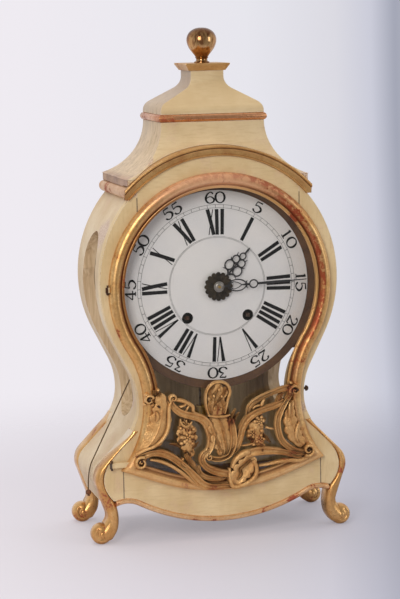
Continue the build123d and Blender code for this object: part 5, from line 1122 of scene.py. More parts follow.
@dataclass
class SidePanels:
    """The two side panels, with the crowns of their slots cut round."""

    finishes: Finishes
    crown_z: float = 321.5
    crown_half: tuple[float, float] = (32.5, 42.5)
    cutter_x: float = 120.0
    cutter_length: float = 160.0
    edge_width: float = 0.8

    def build(self) -> None:
        """Cuts a copy of each panel and dresses it."""
        for side, sign in (("left", -1), ("right", 1)):
            self._panel(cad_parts[f"side_panel_{side}"], f"side_panel_round_{side}", sign)

    def _panel(self, node: Object, name: str, sign: int) -> None:
        """One panel.

        Args:
            node: The node that it is copied from.
            name: The piece's name.
            sign: 1 for the right, -1 for the left.
        """
        solid = linked("solid", stored(self._copied(node), "solid"))
        cutter = linked("cutter", stored(self._cutter(sign), "cutter"))
        cut = solid.modifiers.new("crown", "BOOLEAN")
        cut.operation, cut.solver, cut.object = "DIFFERENCE", "EXACT", cutter
        bpy.context.view_layer.update()
        shape = bpy.data.meshes.new_from_object(solid.evaluated_get(bpy.context.evaluated_depsgraph_get()))
        for spare in (solid, cutter):
            data = spare.data
            bpy.data.objects.remove(spare)
            bpy.data.meshes.remove(data)
        mesh = blank()
        mesh.from_mesh(shape)
        bpy.data.meshes.remove(shape)
        bmesh.ops.scale(mesh, vec=Vector((1 / MM, 1 / MM, 1 / MM)), verts=mesh.verts)
        piece = finish_piece(mesh, name, "case", self.finishes.side_paint, (node.name,), crease=30)
        round_edges(piece, self.edge_width)

    def _copied(self, node: Object) -> BMesh:
        """The node's mesh with its doubled points merged."""
        mesh = bmesh.new()
        mesh.from_mesh(node.data)
        bmesh.ops.remove_doubles(mesh, verts=mesh.verts, dist=WELDED_WITHIN)
        bmesh.ops.recalc_face_normals(mesh, faces=mesh.faces)
        return mesh

    def _cutter(self, sign: int) -> BMesh:
        """An oval bar through one side, as wide and as high as the slot's crown."""
        mesh = bmesh.new()
        half_y, half_z = self.crown_half
        place = (Matrix.Translation((sign * self.cutter_x * MM, M.middle * MM, self.crown_z * MM))
                 @ Matrix.Rotation(radians(90), 4, "Y") @ Matrix.Diagonal((half_z * MM, half_y * MM, 1, 1)))
        bmesh.ops.create_cone(mesh, cap_ends=True, segments=64, radius1=1.0, radius2=1.0,
                              depth=self.cutter_length * MM, matrix=place)
        bmesh.ops.recalc_face_normals(mesh, faces=mesh.faces)
        return mesh


@dataclass
class ScrollLegs:
    """The four S-shaped legs with their scrolled feet."""

    finishes: Finishes
    outline: CaseOutline = field(default_factory=CaseOutline)
    depth: float = 24.0
    proud: float = 2.0
    eye_r: float = 3.6
    squareness: float = 0.62

    def build(self) -> None:
        """Makes each leg and dresses it."""
        front_back, rear_back = M.front - self.proud + self.depth, M.rear + self.proud
        for side, word in ((-1, "left"), (1, "right")):
            self._leg(f"leg_front_{word}", side, front_back, f"front_leg_{word}")
        for side, word in ((-1, "left"), (1, "right")):
            self._leg(f"leg_rear_{word}", side, rear_back, "rear_legs")

    def _leg(self, name: str, side: int, back: float, node: str) -> None:
        """One leg: its S-band, its foot and the scroll cut into the foot.

        Args:
            name: The piece's name.
            side: 1 for the right, -1 for the left.
            back: The depth of its back face.
            node: The node that it stands for.
        """
        mesh = blank()
        outer = resampled(self.outline.leg_outer() + [Vector((149.0, 17.0))], 56)
        inner = resampled(self.outline.leg_inner() + [Vector((144.0, 3.0))], 56)
        d = self.depth
        ring = [(0.0, 3.0), (0.0, d - 6.0), (0.06, d - 3.2), (0.2, d - 1.2), (0.42, d - 0.1), (0.6, d - 0.1),
                (0.8, d - 1.2), (0.94, d - 3.2), (1.0, d - 6.0), (1.0, 3.0), (0.9, 0.8), (0.6, 0.0), (0.4, 0.0),
                (0.1, 0.8)]
        run_section(mesh, ring, rail_run(outer, inner, back))
        foot, radius = self.outline.foot, self.outline.foot_r
        middle = back - d / 2
        start = len(mesh.verts)
        bmesh.ops.create_uvsphere(mesh, u_segments=32, v_segments=20, radius=1.0)
        mesh.verts.ensure_lookup_table()
        for vert in mesh.verts[start:]:
            x, y, z = vert.co
            deep = copysign(abs(y) ** self.squareness, y)
            vert.co = Vector((foot.x + x * radius, middle + deep * (d / 2 - 0.6), max(foot.y + z * radius, 0.0)))
        for face_y, toward in ((middle - d / 2 + 1.2, 1), (middle + d / 2 - 1.2, -1)):
            self._scroll(mesh, foot, face_y, toward)
        if side < 0:
            bmesh.ops.scale(mesh, vec=Vector((-1, 1, 1)), verts=mesh.verts)
        finish_piece(mesh, name, "case", self.finishes.leg_gold, (node,), crease=55)

    def _scroll(self, mesh: BMesh, foot: Vector, face_y: float, toward: int) -> None:
        """The soft ridge that curls into one face of a foot, and its eye."""
        line = []
        for k in range(21):
            turn = radians(60 - 13.0 * k)
            reach = 8.2 - 0.12 * k
            line.append((foot.x + reach * cos(turn), foot.y + reach * sin(turn), 4.6 - 0.08 * k))
        stations = [Station(s.centre, s.across, s.up * toward)
                    for s in front_run(line, face_y + 0.9 * toward, 1.5, 0.9)]
        run_section(mesh, Section.ROLL, stations)
        add_dome(mesh, (foot.x, foot.y), (self.eye_r, 1.2, self.eye_r), face_y)


@dataclass
class ApronBead:
    """The gilt bead along the apron's lower edge."""

    finishes: Finishes
    outline: ApronOutline = field(default_factory=ApronOutline)
    height: float = 6.3
    proud: float = 3.0
    depth: float = 12.0

    def build(self) -> None:
        """Makes the bead and dresses it."""
        mesh = blank()
        back = M.front + self.depth
        face = self.depth + self.proud
        ring = [(0, 0), (0, face - 3.0), (0.07, face - 1.5), (0.25, face - 0.4), (0.5, face), (0.72, face - 0.5),
                (0.9, face - 1.6), (1, face - 3.0), (1, 0)]
        run_section(mesh, ring, rail_run(self.outline.edge(0), self.outline.edge(self.height), back))
        finish_piece(mesh, "apron_gilt_bead", "case", self.finishes.apron_gold, ("apron_bead",))


@dataclass
class Cornice:
    """The arched strip over the front, with a hollow face and a bright lip, and the round moulding behind it."""

    finishes: Finishes
    centre_z: float = 309.0
    inner_r: float = 143.5
    width: float = 12.0
    sweep: float = radians(52)
    half_width: float = 113.0
    lap: float = 14.0
    low_z: float = 405.0
    height: float = 14.0
    round_r: float = 6.5
    overhang: float = 5.0
    depth: float = 24.0

    def build(self) -> None:
        """Makes the arch and the moulding."""
        self._arch()
        self._moulding()

    def _arch(self) -> None:
        """Spins the strip and the block behind it, and cuts their ends."""
        f, r = M.front, self.inner_r
        outer = r + self.width
        strip = [(r, f + 1.5), (r, f - 1.8), (r + 0.5, f - 3.0), (r + 1.3, f - 3.3), (r + 2.0, f - 2.5),
                 (r + 2.5, f - 1.2), (r + 4.4, f - 1.0), (r + 6.8, f - 1.5), (r + 8.2, f - 2.3), (r + 8.6, f - 1.9),
                 (r + 9.0, f - 2.6), (r + 9.5, f - 4.4), (r + 10.1, f - 5.0), (r + 11.2, f - 5.0),
                 (r + 11.8, f - 4.5), (outer, f - 3.8), (outer, f + 1.5)]
        block = [(r, f + self.depth), (r, f + 1.0), (outer, f + 1.0), (outer, f + self.depth)]
        mesh = blank()
        self._sweep(mesh, strip, self.half_width)
        self._sweep(mesh, block, self.half_width - self.lap)
        finish_piece(mesh, "cornice_gilt_arch", "case", self.finishes.dark_gold, ("cornice_arch",),
                     crease=45)

    def _sweep(self, mesh: BMesh, profile: Sequence[Point], half_width: float) -> None:
        """Spins a profile over the front and cuts it off level and at both sides.

        Args:
            mesh: The mesh that gets it.
            profile: Its points, as (distance from the arch's centre, depth).
            half_width: Where its two ends are cut upright.
        """
        part = blank()
        written = part.verts.layers.float_vector["section"]
        verts = []
        for radius, y in profile:
            vert = part.verts.new((radius * sin(self.sweep), y, self.centre_z + radius * cos(self.sweep)))
            vert[written] = Vector(((radius - self.inner_r) / self.width, 0.0, 0.0))
            verts.append(vert)
        edges = [part.edges.new((verts[i - 1], verts[i])) for i in range(len(verts))]
        bmesh.ops.spin(part, geom=verts + edges, cent=Vector((0, 0, self.centre_z)), axis=FORWARDS,
                       angle=2 * self.sweep, steps=72)
        cuts = [(Vector((0, 0, self.low_z)), Vector((0, 0, -1))), (Vector((half_width, 0, 0)), RIGHT),
                (Vector((-half_width, 0, 0)), Vector((-1, 0, 0)))]
        for at, out in cuts:
            whole = list(part.verts) + list(part.edges) + list(part.faces)
            bmesh.ops.bisect_plane(part, geom=whole, dist=0.0001, plane_co=at, plane_no=out, clear_outer=True)
        bmesh.ops.holes_fill(part, edges=[edge for edge in part.edges if edge.is_boundary], sides=0)
        data = stored(part, "swept")
        mesh.from_mesh(data)
        bpy.data.meshes.remove(data)

    def _ring(self, inner: float) -> list[Point]:
        """The moulding's section: across from its outer face, and upwards."""
        ring = [(inner, 0.0)]
        for middle, start in ((self.round_r, 270), (self.height - self.round_r, 180)):
            for k in range(7):
                turn = radians(start - 15 * k)
                ring.append((self.round_r + self.round_r * cos(turn), middle + self.round_r * sin(turn)))
        return ring + [(inner, self.height)]

    def _moulding(self) -> None:
        """Runs the moulding round the sides and the back, and on past the arch's block."""
        mesh = blank()
        arch_back, back = M.front + self.depth, M.rear + self.overhang
        corners = [((-1, arch_back + 0.1), (1, 0)), ((-1, back), (1, -1)), ((1, back), (-1, -1)),
                   ((1, arch_back + 0.1), (-1, 0))]
        stations = [Station(Vector((side * self.half_width, y, self.low_z)), Vector((*inward, 0)), UP)
                    for (side, y), inward in corners]
        run_section(mesh, self._ring(self.lap), stations)
        for side in (-1, 1):
            ends = [Station(Vector((side * self.half_width, y, self.low_z)), Vector((-side, 0, 0)), UP)
                    for y in (M.front + 1.2, arch_back)]
            run_section(mesh, self._ring(self.round_r), ends)
        finish_piece(mesh, "cornice_round", "case", self.finishes.rosy_gold, ("cornice_moulding",),
                     crease=40)


@dataclass
class DoorMoulding:
    """The rounded gilt moulding round the door's glass."""

    finishes: Finishes
    outline: DoorOutline = field(default_factory=DoorOutline)
    width: float = 18.2
    sill_width: float = 15.0
    counts: tuple[int, int, int, int] = (72, 26, 8, 20)

    def build(self) -> None:
        """Runs the moulding round the outline."""
        mesh = blank()
        ring = [(0, 0), (0, 3.6), (0.015, 4.6), (0.06, 6.4), (0.12, 7.9), (0.2, 9.1), (0.3, 9.8), (0.4, 10.0),
                (0.5, 9.7), (0.58, 8.9), (0.66, 7.5), (0.72, 6.0), (0.76, 4.9), (0.79, 4.5), (0.825, 5.3),
                (0.86, 5.7), (0.95, 5.5), (0.99, 5.1), (1, 4.4), (1, 0)]
        outer = self.outline.loop(0.02, 0.02, self.counts)
        inner = self.outline.loop(self.width, self.sill_width, self.counts)
        run_section(mesh, ring, rail_run(outer, inner, M.door_back), closed=True)
        finish_piece(mesh, "door_gilt_moulding", "door", self.finishes.door_gold,
                     ("door_hoop", "door_sill"), crease=50)


TROUGH, LEAF, ROLL, REEDS = Section.TROUGH, Section.LEAF, Section.ROLL, Section.REEDS


@dataclass(frozen=True)
class Strap:
    """One carved strip of the openwork: its points as (x, z, width), its section and its relief."""

    line: tuple[Knot, ...]
    section: Section = TROUGH
    height: float = 6.0
    lift: float = 0.0
    lobes: int = 0
    steps: int = 5
    taper: float = 0.45


@dataclass(frozen=True)
class Curl:
    """A spiral end: its centre, radius, the angle where it starts, its turn in degrees and its width."""

    at: Point
    radius: float
    start: float
    turn: float
    width: float
    height: float = 6.0
    drawn_in: float = 0.72
    thinned: float = 0.45


@dataclass
class Carving:
    """The carved and gilt openwork in front of the glass."""

    finishes: Finishes
    base: float = -70.2
    straps: tuple[Strap, ...] = (
        # left side leaf and its rolled edge
        Strap(((-80, 178, 9), (-77, 168, 17), (-77, 155, 23), (-80, 142, 25), (-85, 130, 25), (-93, 119, 18),
               (-104, 110, 8)), LEAF, 5.2, lobes=6),
        Strap(((-64, 172, 4), (-68, 163, 5), (-69, 150, 5), (-70, 138, 5.5), (-76, 126, 5), (-87, 117, 5),
               (-99, 113, 5), (-109, 108, 5)), ROLL, 6.8, steps=7),
        Strap(((-84, 158, 3), (-82, 152, 5), (-84, 146, 3)), ROLL, 6.9),
        # left upper scroll with its pierced crest
        Strap(((-68, 171, 6), (-63, 162, 8), (-55, 155, 9), (-45, 151, 9), (-34, 148, 10), (-25, 142, 11),
               (-20, 132, 11), (-18, 120, 10), (-21, 108, 9), (-29, 101, 8)), TROUGH, 6.4, steps=7),
        Strap(((-61, 170, 4), (-54, 169, 5), (-47, 166, 5), (-40, 161, 5), (-39, 154, 5), (-34, 150, 4)), ROLL, 5.6),
        Strap(((-56, 161, 3.5), (-50, 163, 4), (-47, 166, 3)), ROLL, 5.2),
        Strap(((-49, 154, 3.5), (-46, 160, 3.5), (-43, 164, 3)), ROLL, 5.0),
        # lower left scroll
        Strap(((-109, 104, 5), (-101, 106, 8), (-90, 109, 8), (-78, 108, 9), (-67, 103, 9), (-57, 95, 9),
               (-47, 86, 9), (-38, 76, 10), (-29, 67, 10), (-17, 63, 8), (-4, 63, 7), (6, 62, 6)),
              TROUGH, 6.6, steps=7),
        Strap(((-92, 101, 3), (-82, 99, 4), (-70, 94, 5), (-58, 86, 5), (-47, 77, 6), (-38, 69, 6), (-28, 63, 5)),
              ROLL, 5.0, steps=6),
        Strap(((-48, 106, 6), (-46, 99, 8), (-42, 91, 9), (-37, 83, 9), (-33, 75, 7)), LEAF, 6.4, lobes=3),
        Strap(((-52, 100, 4), (-54, 95, 4), (-49, 90, 4), (-45, 92, 3)), ROLL, 5.0),
        # the body in the middle and its leaves
        Strap(((-9, 147, 24), (-9, 140, 27), (-7, 128, 27), (-4, 116, 25), (-3, 106, 18), (-5, 98, 9)),
              REEDS, 5.6, lobes=5),
        Strap(((-21, 146, 5), (-17, 136, 9), (-13, 124, 10), (-9, 112, 9), (-3, 101, 6)), LEAF, 6.9, 0.2, 4),
        Strap(((-8, 146, 6), (-5, 134, 11), (-2, 120, 12), (0, 108, 9), (1, 99, 5)), LEAF, 7.1, 0.0, 4),
        Strap(((6, 146, 4), (8, 134, 8), (9, 122, 9), (8, 110, 8), (3, 100, 6), (-7, 96, 6), (-17, 97, 6),
               (-24, 103, 5)), TROUGH, 6.9, steps=6),
        Strap(((13, 155, 1.5), (9, 148, 4), (5, 141, 6), (3, 134, 5)), LEAF, 6.2),
        Strap(((17, 150, 1.2), (12, 144, 3.5), (8, 137, 5)), LEAF, 5.6),
        Strap(((3, 157, 1.5), (3, 150, 4), (2, 143, 5)), LEAF, 5.8),
        # curl under the body and the strap below it
        Strap(((-20, 107, 5), (-27, 104, 7), (-30, 97, 8), (-26, 89, 8), (-17, 83, 9), (-7, 79, 9), (4, 77, 8)),
              TROUGH, 7.0, steps=7),
        Strap(((-34, 90, 4), (-33, 82, 6), (-27, 76, 7), (-17, 73, 7), (-6, 72.5, 6), (-3, 75, 5)), TROUGH, 5.4),
        # shell right of the middle
        Strap(((9, 61, 10), (13, 70, 20), (19, 79, 25), (26, 87, 22), (34, 96, 12)), TROUGH, 5.2, lobes=5),
        Strap(((13, 69, 3), (18, 76, 5), (17, 82, 4), (24, 87, 4), (30, 92, 3)), LEAF, 6.8, lobes=3),
        Strap(((4, 84, 4), (4, 72, 5), (7, 62, 6), (15, 61, 6), (26, 65, 6), (35, 72, 6), (37, 82, 6), (33, 91, 6)),
              ROLL, 6.6, steps=6),
        Strap(((7, 84, 4), (11, 93, 6), (19, 99, 8), (29, 102, 8)), ROLL, 6.4),
        # lower right scroll
        Strap(((22, 97, 8), (32, 101, 11), (44, 102, 11), (57, 101, 9), (70, 99, 8), (83, 95, 8), (94, 92, 8)),
              TROUGH, 6.4, steps=6),
        Strap(((40, 84, 3), (52, 85, 4), (64, 87, 5), (78, 88, 6), (91, 87, 6), (101, 90, 6)), ROLL, 4.8),
        # right side leaf and its rolled edge
        Strap(((76, 161, 5), (69, 151, 7), (64, 139, 7.5), (64, 126, 8), (68, 114, 8), (76, 105, 8), (87, 98, 8),
               (98, 96, 7)), TROUGH, 7.0, steps=7),
        Strap(((82, 160, 7), (80, 149, 11), (80, 137, 16), (83, 125, 19), (88, 114, 17), (96, 105, 11)),
              LEAF, 5.6, lobes=6),
        Strap(((79, 158, 2.5), (78, 149, 4), (79, 140, 2.5)), ROLL, 6.9),
        Strap(((90, 133, 2), (87, 125, 5), (86, 116, 4), (90, 108, 2)), ROLL, 7.0),
        # right upper scroll with its pierced crest
        Strap(((6, 101, 5), (13, 109, 8), (17, 120, 9), (20, 131, 9), (26, 141, 9), (36, 148, 9), (48, 152, 8),
               (60, 155, 8), (72, 160, 8)), TROUGH, 6.8, steps=7),
        Strap(((27, 146, 4), (29, 155, 6), (36, 162, 6), (46, 167, 6), (57, 171, 6), (68, 174, 7), (79, 176, 7)),
              TROUGH, 6.0, steps=6),
        Strap(((44, 155, 5), (45, 160, 5), (48, 165, 5)), ROLL, 5.4),
        Strap(((64, 159, 6), (67, 165, 7), (70, 171, 6)), LEAF, 5.8),
        Strap(((33, 152, 3), (36, 156, 4), (43, 157, 4)), ROLL, 5.0),
        Strap(((78, 181, 3), (80, 174, 7), (79, 166, 8), (74, 160, 7)), LEAF, 6.4, lobes=3),
        # stems and tendrils of the two bouquets
        Strap(((-50, 148, 9), (-48, 138, 18), (-47, 127, 24), (-46, 117, 20), (-44, 108, 12), (-42, 101, 8)),
              LEAF, 4.4, lobes=5),
        Strap(((-55, 147, 2), (-54, 142, 3.5), (-50, 138, 4), (-45, 139, 4), (-41, 143, 3)), ROLL, 5.6),
        Strap(((42, 147, 7), (40, 138, 14), (37, 128, 19), (39, 118, 17), (43, 109, 11), (46, 102, 7)),
              LEAF, 4.2, lobes=5),
        Strap(((-68, 118, 1.5), (-62, 117, 3.5), (-55, 114, 4)), LEAF, 5.0),
        Strap(((-33, 118, 1.5), (-37, 114, 3), (-42, 110, 3.5)), LEAF, 4.6),
        Strap(((18, 110, 1.5), (26, 110, 2.5), (34, 112, 3)), ROLL, 4.4),
        Strap(((62, 127, 1.5), (55, 128, 2.5), (49, 130, 3)), ROLL, 4.4),
        Strap(((46, 122, 3), (50, 117, 5), (55, 111, 2)), LEAF, 5.4),
        Strap(((42, 112, 5), (44, 106, 6), (45, 101, 4)), LEAF, 5.6),
    )
    curls: tuple[Curl, ...] = (
        Curl((-63, 172), 4.6, 230, -430, 4.2),
        Curl((-103, 98), 7.4, 60, 480, 5.2, 6.8),
        Curl((-92, 172), 5.6, 20, 420, 4.2, 5.6),
        Curl((102, 99), 7.6, 230, 470, 5.6, 7.0),
        Curl((86, 172), 6.6, 200, -430, 4.6, 6.2),
        Curl((-21, 99), 4.0, 120, 400, 3.4, 6.6),
    )

    crest: tuple[Strap, ...] = (
        # the crest's ground and its rolled rim
        Strap(((-10, 149, 22), (-11, 158, 25), (-11, 167, 25), (-10, 175, 23), (-9, 182, 17), (-8, 186.5, 7)),
              ROLL, 4.6, steps=6, taper=0.0),
        Strap(((-20, 149, 2.6), (-23, 158, 3), (-24, 168, 3), (-22, 179, 3), (-15, 186.5, 3.4), (-6, 188, 3.6),
               (2, 184.5, 4.4), (5.5, 176, 5), (3, 167, 4.6), (1, 158, 3.6), (-1, 150, 3)),
              ROLL, 5.9, steps=6, taper=0.15),
        # its folded leaves
        Strap(((-17, 151, 4), (-20, 160, 6.5), (-16, 169, 6.5), (-19, 177, 5.5), (-13, 184.5, 3)),
              LEAF, 4.1, 2.6, steps=6, taper=0.35),
        Strap(((-11, 150, 4), (-9, 158, 7), (-12, 167, 7), (-9, 176, 6.5), (-6, 185, 3.5)),
              LEAF, 3.85, 2.6, steps=6, taper=0.35),
        Strap(((-4, 151, 4), (-1, 159, 6.5), (-5, 167, 6.5), (0, 175, 6.5), (-1, 182.5, 3.5)),
              LEAF, 3.6, 2.6, steps=6, taper=0.35),
        Strap(((-15, 160, 2), (-10, 165, 4), (-4, 172, 4), (1, 180, 2)), LEAF, 4.1, 2.6, steps=6, taper=0.35),
        Strap(((-19, 167, 2), (-14, 174, 4), (-9, 181, 3)), LEAF, 3.85, 2.6, steps=6, taper=0.35),
    )
    crest_pearls: tuple[Knot, ...] = ((-14, 157, 1.8), (-6, 156, 1.6), (-14.5, 172, 1.9), (-5, 171, 1.7),
                                      (-8, 179, 1.8), (-10, 163, 1.5))
    collar: Strap = Strap(((-22, 149, 3), (-12, 147.4, 4), (-2, 147, 4), (5, 148.5, 3)), ROLL, 6.9, steps=6, taper=0.2)
    roses: tuple[tuple[Point, float, int, float], ...] = (
        ((-47, 125), 9.4, 6, 6.7), ((-49, 141), 5.6, 5, 6.0), ((41, 138), 8.0, 6, 6.7), ((32, 124), 7.0, 5, 6.3),
        ((42, 116), 7.2, 5, 6.1))
    sprays: tuple[tuple[Point, float, tuple[float, ...], float], ...] = (
        ((-47, 125), 7.0, (25, 70, 110, 150, 205, 240, 285, 330), 8.0), ((-49, 143), 2.0, (60, 120, 180, 0), 6.0),
        ((-46, 108), 2.0, (200, 250, 300, 340), 7.0), ((41, 138), 5.0, (20, 70, 120, 170, 330), 6.0),
        ((37, 120), 6.0, (10, 195, 240, 300, 335), 7.0), ((-84, 175), 3.0, (40, 75, 110, 150), 8.5),
        ((83, 173), 3.0, (20, 60, 100, 330), 7.0))
    buds: tuple[Knot, ...] = (
        (-55, 136, 3.0), (-39, 134, 3.2), (-54, 118, 3.4), (-41, 117, 3.0), (-48, 137, 3.2), (44, 126, 3.0),
        (31, 128, 3.2), (42, 113, 3.2), (34, 110, 2.8), (-88, 166, 2.6), (-97, 167, 2.4), (-95, 178, 2.8),
        (-81, 183, 2.4), (90, 178, 2.8), (81, 181, 2.6))

    def build(self) -> None:
        """Makes the openwork and dresses it."""
        mesh = blank()
        for strap in self.straps:
            self._strap(mesh, strap)
        for curl in self.curls:
            self._curl(mesh, curl)
        for strap in self.crest:
            self._strap(mesh, strap)
        for x, z, r in self.crest_pearls:
            add_dome(mesh, (x, z), (r, 2.4, 1.3 * r), self.base - 4.4, turn=20 * sin(z))
        self._strap(mesh, self.collar)
        for rose in self.roses:
            self._rose(mesh, *rose)
        for spray in self.sprays:
            self._leaves(mesh, *spray)
        for x, z, r in self.buds:
            add_dome(mesh, (x, z), (r, 5.4, r * 0.9), self.base)
        finish_piece(mesh, "door_carving", "door", self.finishes.carved_gold, ("door_ornament",),
                     crease=62)

    def _strap(self, mesh: BMesh, strap: Strap) -> None:
        """Runs one strap, with a lobed edge where it is a leaf."""
        line = smooth_through(strap.line, strap.steps * (2 if strap.lobes else 1))
        last = len(line) - 1
        if strap.lobes:
            line = [(x, z, w * (0.84 + 0.26 * abs(sin(pi * strap.lobes * i / last))))
                    for i, (x, z, w) in enumerate(line)]
        run_section(mesh, strap.section, front_run(line, self.base - strap.lift, strap.height, strap.taper))

    def _curl(self, mesh: BMesh, curl: Curl) -> None:
        """Winds one spiral end and sets its eye."""
        line = []
        count = 30
        for k in range(count + 1):
            turn = radians(curl.start + curl.turn * k / count)
            reach = curl.radius * (1 - curl.drawn_in * k / count)
            line.append((curl.at[0] + reach * cos(turn), curl.at[1] + reach * sin(turn),
                         curl.width * (1 - curl.thinned * k / count)))
        run_section(mesh, ROLL, front_run(line, self.base, curl.height, 0.1))
        add_dome(mesh, curl.at, (curl.width * 0.42, curl.height, curl.width * 0.42), self.base)

    def _rose(self, mesh: BMesh, at: Point, radius: float, petals: int, height: float) -> None:
        """A flower of rounded petals about a dimpled middle."""
        add_dome(mesh, at, (0.86 * radius, 0.62 * height, 0.86 * radius), self.base)
        for ring, (reach, size, rise) in enumerate(((0.62, 0.46, 0.8), (0.32, 0.32, 0.97))):
            for number in range(petals - ring):
                turn = 2 * pi * (number + 0.5 * ring) / (petals - ring)
                spot = (at[0] + reach * radius * cos(turn), at[1] + reach * radius * sin(turn))
                add_dome(mesh, spot, (size * radius, height * rise, 0.8 * size * radius), self.base, turn=degrees(turn))
        add_dome(mesh, at, (0.22 * radius, height * 1.08, 0.22 * radius), self.base)

    def _leaves(self, mesh: BMesh, at: Point, start: float, turns: Sequence[float], length: float) -> None:
        """Small pointed leaves that fan out from a point."""
        for number, angle in enumerate(turns):
            turn = radians(angle)
            way = Vector((cos(turn), sin(turn)))
            bend = Vector((-way.y, way.x)) * (0.16 * length * (1 if number % 2 else -1))
            foot, tip = Vector(at) + way * (0.6 * start), Vector(at) + way * (start + 0.62 * length)
            middle = foot.lerp(tip, 0.5) + bend
            line = smooth_through(((foot.x, foot.y, 2.4), (middle.x, middle.y, 0.52 * length), (tip.x, tip.y, 0.8)), 5)
            run_section(mesh, LEAF, front_run(line, self.base, 4.4, 0.4))


# The hours' letters: how far each one takes the line on, and its strokes from end to end, each end as (across,
# share of the height, width). The minutes' figures: strokes through points as shares of the height.
HOURS = ("XII", "I", "II", "III", "IIII", "V", "VI", "VII", "VIII", "IX", "X", "XI")
LETTERS: dict[str, tuple[float, tuple[tuple[Knot, Knot], ...]]] = {
    "I": (7.0, (((0, 1, 4.4), (0, 0, 4.1)),)),
    "V": (9.6, (((-3.4, 1, 4.4), (0.4, 0, 1.7)), ((4.2, 1, 0.95), (0.9, 0, 0.95)))),
    "X": (9.4, (((-3.0, 1, 4.5), (3.2, 0, 4.3)), ((3.6, 1, 1.0), (-3.6, 0, 1.0)))),
}
FIGURES: dict[str, tuple[tuple[Knot, ...], ...]] = {
    "0": (((0, 1, .05), (.27, .85, .1), (.38, .5, .14), (.27, .15, .1), (0, 0, .05), (-.27, .15, .1),
           (-.38, .5, .14), (-.27, .85, .1), (0, 1, .05)),),
    "1": (((0, 1, .13), (0, .5, .13), (0, 0, .13)), ((-.16, .84, .04), (0, .98, .05)),
          ((-.2, .02, .04), (.2, .02, .04))),
    "2": (((-.28, .72, .14), (-.22, .9, .08), (0, 1, .05), (.25, .88, .12), (.26, .68, .12),
           (.02, .36, .06), (-.3, .04, .04)), ((-.3, .05, .08), (0, .06, .1), (.3, .04, .08), (.36, .22, .04))),
    "3": (((-.26, .84, .05), (-.22, .98, .08), (.02, .97, .08), (.26, .97, .06)),
          ((.26, .97, .05), (.12, .78, .05), (-.06, .58, .05)),
          ((-.06, .58, .05), (.24, .44, .12), (.28, .18, .13), (.02, 0, .05), (-.26, .1, .09),
           (-.3, .24, .12))),
    "4": (((.1, 1, .05), (-.14, .64, .05), (-.38, .3, .05)), ((-.38, .3, .05), (.36, .3, .05)),
          ((.1, 1, .12), (.1, .5, .12), (.1, 0, .12)), ((-.08, .02, .04), (.28, .02, .04))),
    "5": (((-.2, .97, .06), (.05, .98, .07), (.28, .99, .09)), ((-.2, .97, .045), (-.25, .56, .045)),
          ((-.25, .56, .045), (.0, .64, .06), (.28, .5, .12), (.32, .26, .14), (.04, 0, .05),
           (-.24, .08, .09), (-.3, .22, .12))),
    "6": (((.26, .84, .11), (.06, 1, .05), (-.22, .8, .1), (-.36, .42, .14), (-.24, .1, .1), (.02, 0, .05),
           (.28, .14, .1), (.32, .36, .12), (.06, .58, .05), (-.2, .5, .045), (-.32, .34, .04)),),
}


@dataclass
class Dial:
    """The printing on the enamel: hours, minutes and their tracks."""

    finishes: Finishes
    crest: float = -47.5
    dome: float = 6.0
    radius: float = 113.0
    lift: float = 0.16
    thickness: float = 0.12
    hour_rings: Point = (60.8, 90.8)
    minute_rings: Point = (98.0, 110.8)
    figure_step: float = 12.2

    def build(self) -> None:
        """Prints the numerals and tracks, each as a piece."""
        self._hours()
        self._minutes()
        self._tracks()

    def _lay(self, mesh: BMesh, name: str) -> None:
        """Bends flat printing on to the domed face and finishes it."""
        for vert in mesh.verts:
            reach = hypot(vert.co.x, vert.co.z - M.dial_z)
            vert.co.y += self.crest - self.lift + self.dome * (reach / self.radius) ** 2
        finish_piece(mesh, name, "case", self.finishes.numeral_ink)

    def _stroke(self, mesh: BMesh, line: Sequence[Knot], clock: float) -> None:
        """One stroke, given as (across, out from the middle, width), turned to its hour."""
        run_section(mesh, Section.FLAT, front_run(on_dial(line, clock), 0.0, self.thickness))

    def _hours(self) -> None:
        """The twelve hours: thick and thin bars that lean to the middle."""
        mesh = blank()
        low, high = self.hour_rings
        for number, hour in enumerate(HOURS):
            wide = sum(LETTERS[letter][0] for letter in hour)
            at = -wide / 2
            for letter in hour:
                advance, strokes = LETTERS[letter]
                middle = at + advance / 2
                for start, end in strokes:
                    line = []
                    for k in range(5):
                        u, v, w = (a + (b - a) * k / 4 for a, b in zip(start, end))
                        line.append(((middle + u) * (0.84 + 0.16 * v), low + (high - low) * v, w))
                    self._stroke(mesh, line, 30 * number)
                at += advance
        self._lay(mesh, "dial_hours")

    def _minutes(self) -> None:
        """The figures for every fifth minute."""
        mesh = blank()
        low, high = self.minute_rings
        size = high - low
        for number in range(1, 13):
            label = str(5 * number)
            for place, figure in enumerate(label):
                middle = (place - (len(label) - 1) / 2) * self.figure_step
                for stroke in FIGURES[figure]:
                    knots = [(middle + 1.14 * size * u, low + size * v, size * (1.3 * w + 0.03)) for u, v, w in stroke]
                    self._stroke(mesh, smooth_through(knots, 4), 30 * number)
        self._lay(mesh, "dial_minutes")

    def _tracks(self) -> None:
        """The rings and the minute marks."""
        mesh = blank()
        for radius, width in ((57.6, 0.22), (58.8, 0.22), (92.4, 0.32), (96.2, 0.32)):
            stations = []
            for angle in range(0, 360, 4):
                turn = radians(angle)
                x, z = radius * sin(turn), M.dial_z + radius * cos(turn)
                way = Vector((x, 0, z - M.dial_z)).normalized()
                stations.append(Station(Vector((x, 0, z)), way * (width / 2), Vector((0, -self.thickness, 0))))
            run_section(mesh, Section.FLAT, stations, closed=True)
        for minute in range(60):
            self._stroke(mesh, ((0, 92.4, 0.4), (0, 96.2, 0.4)), 6 * minute)
        self._lay(mesh, "dial_tracks")


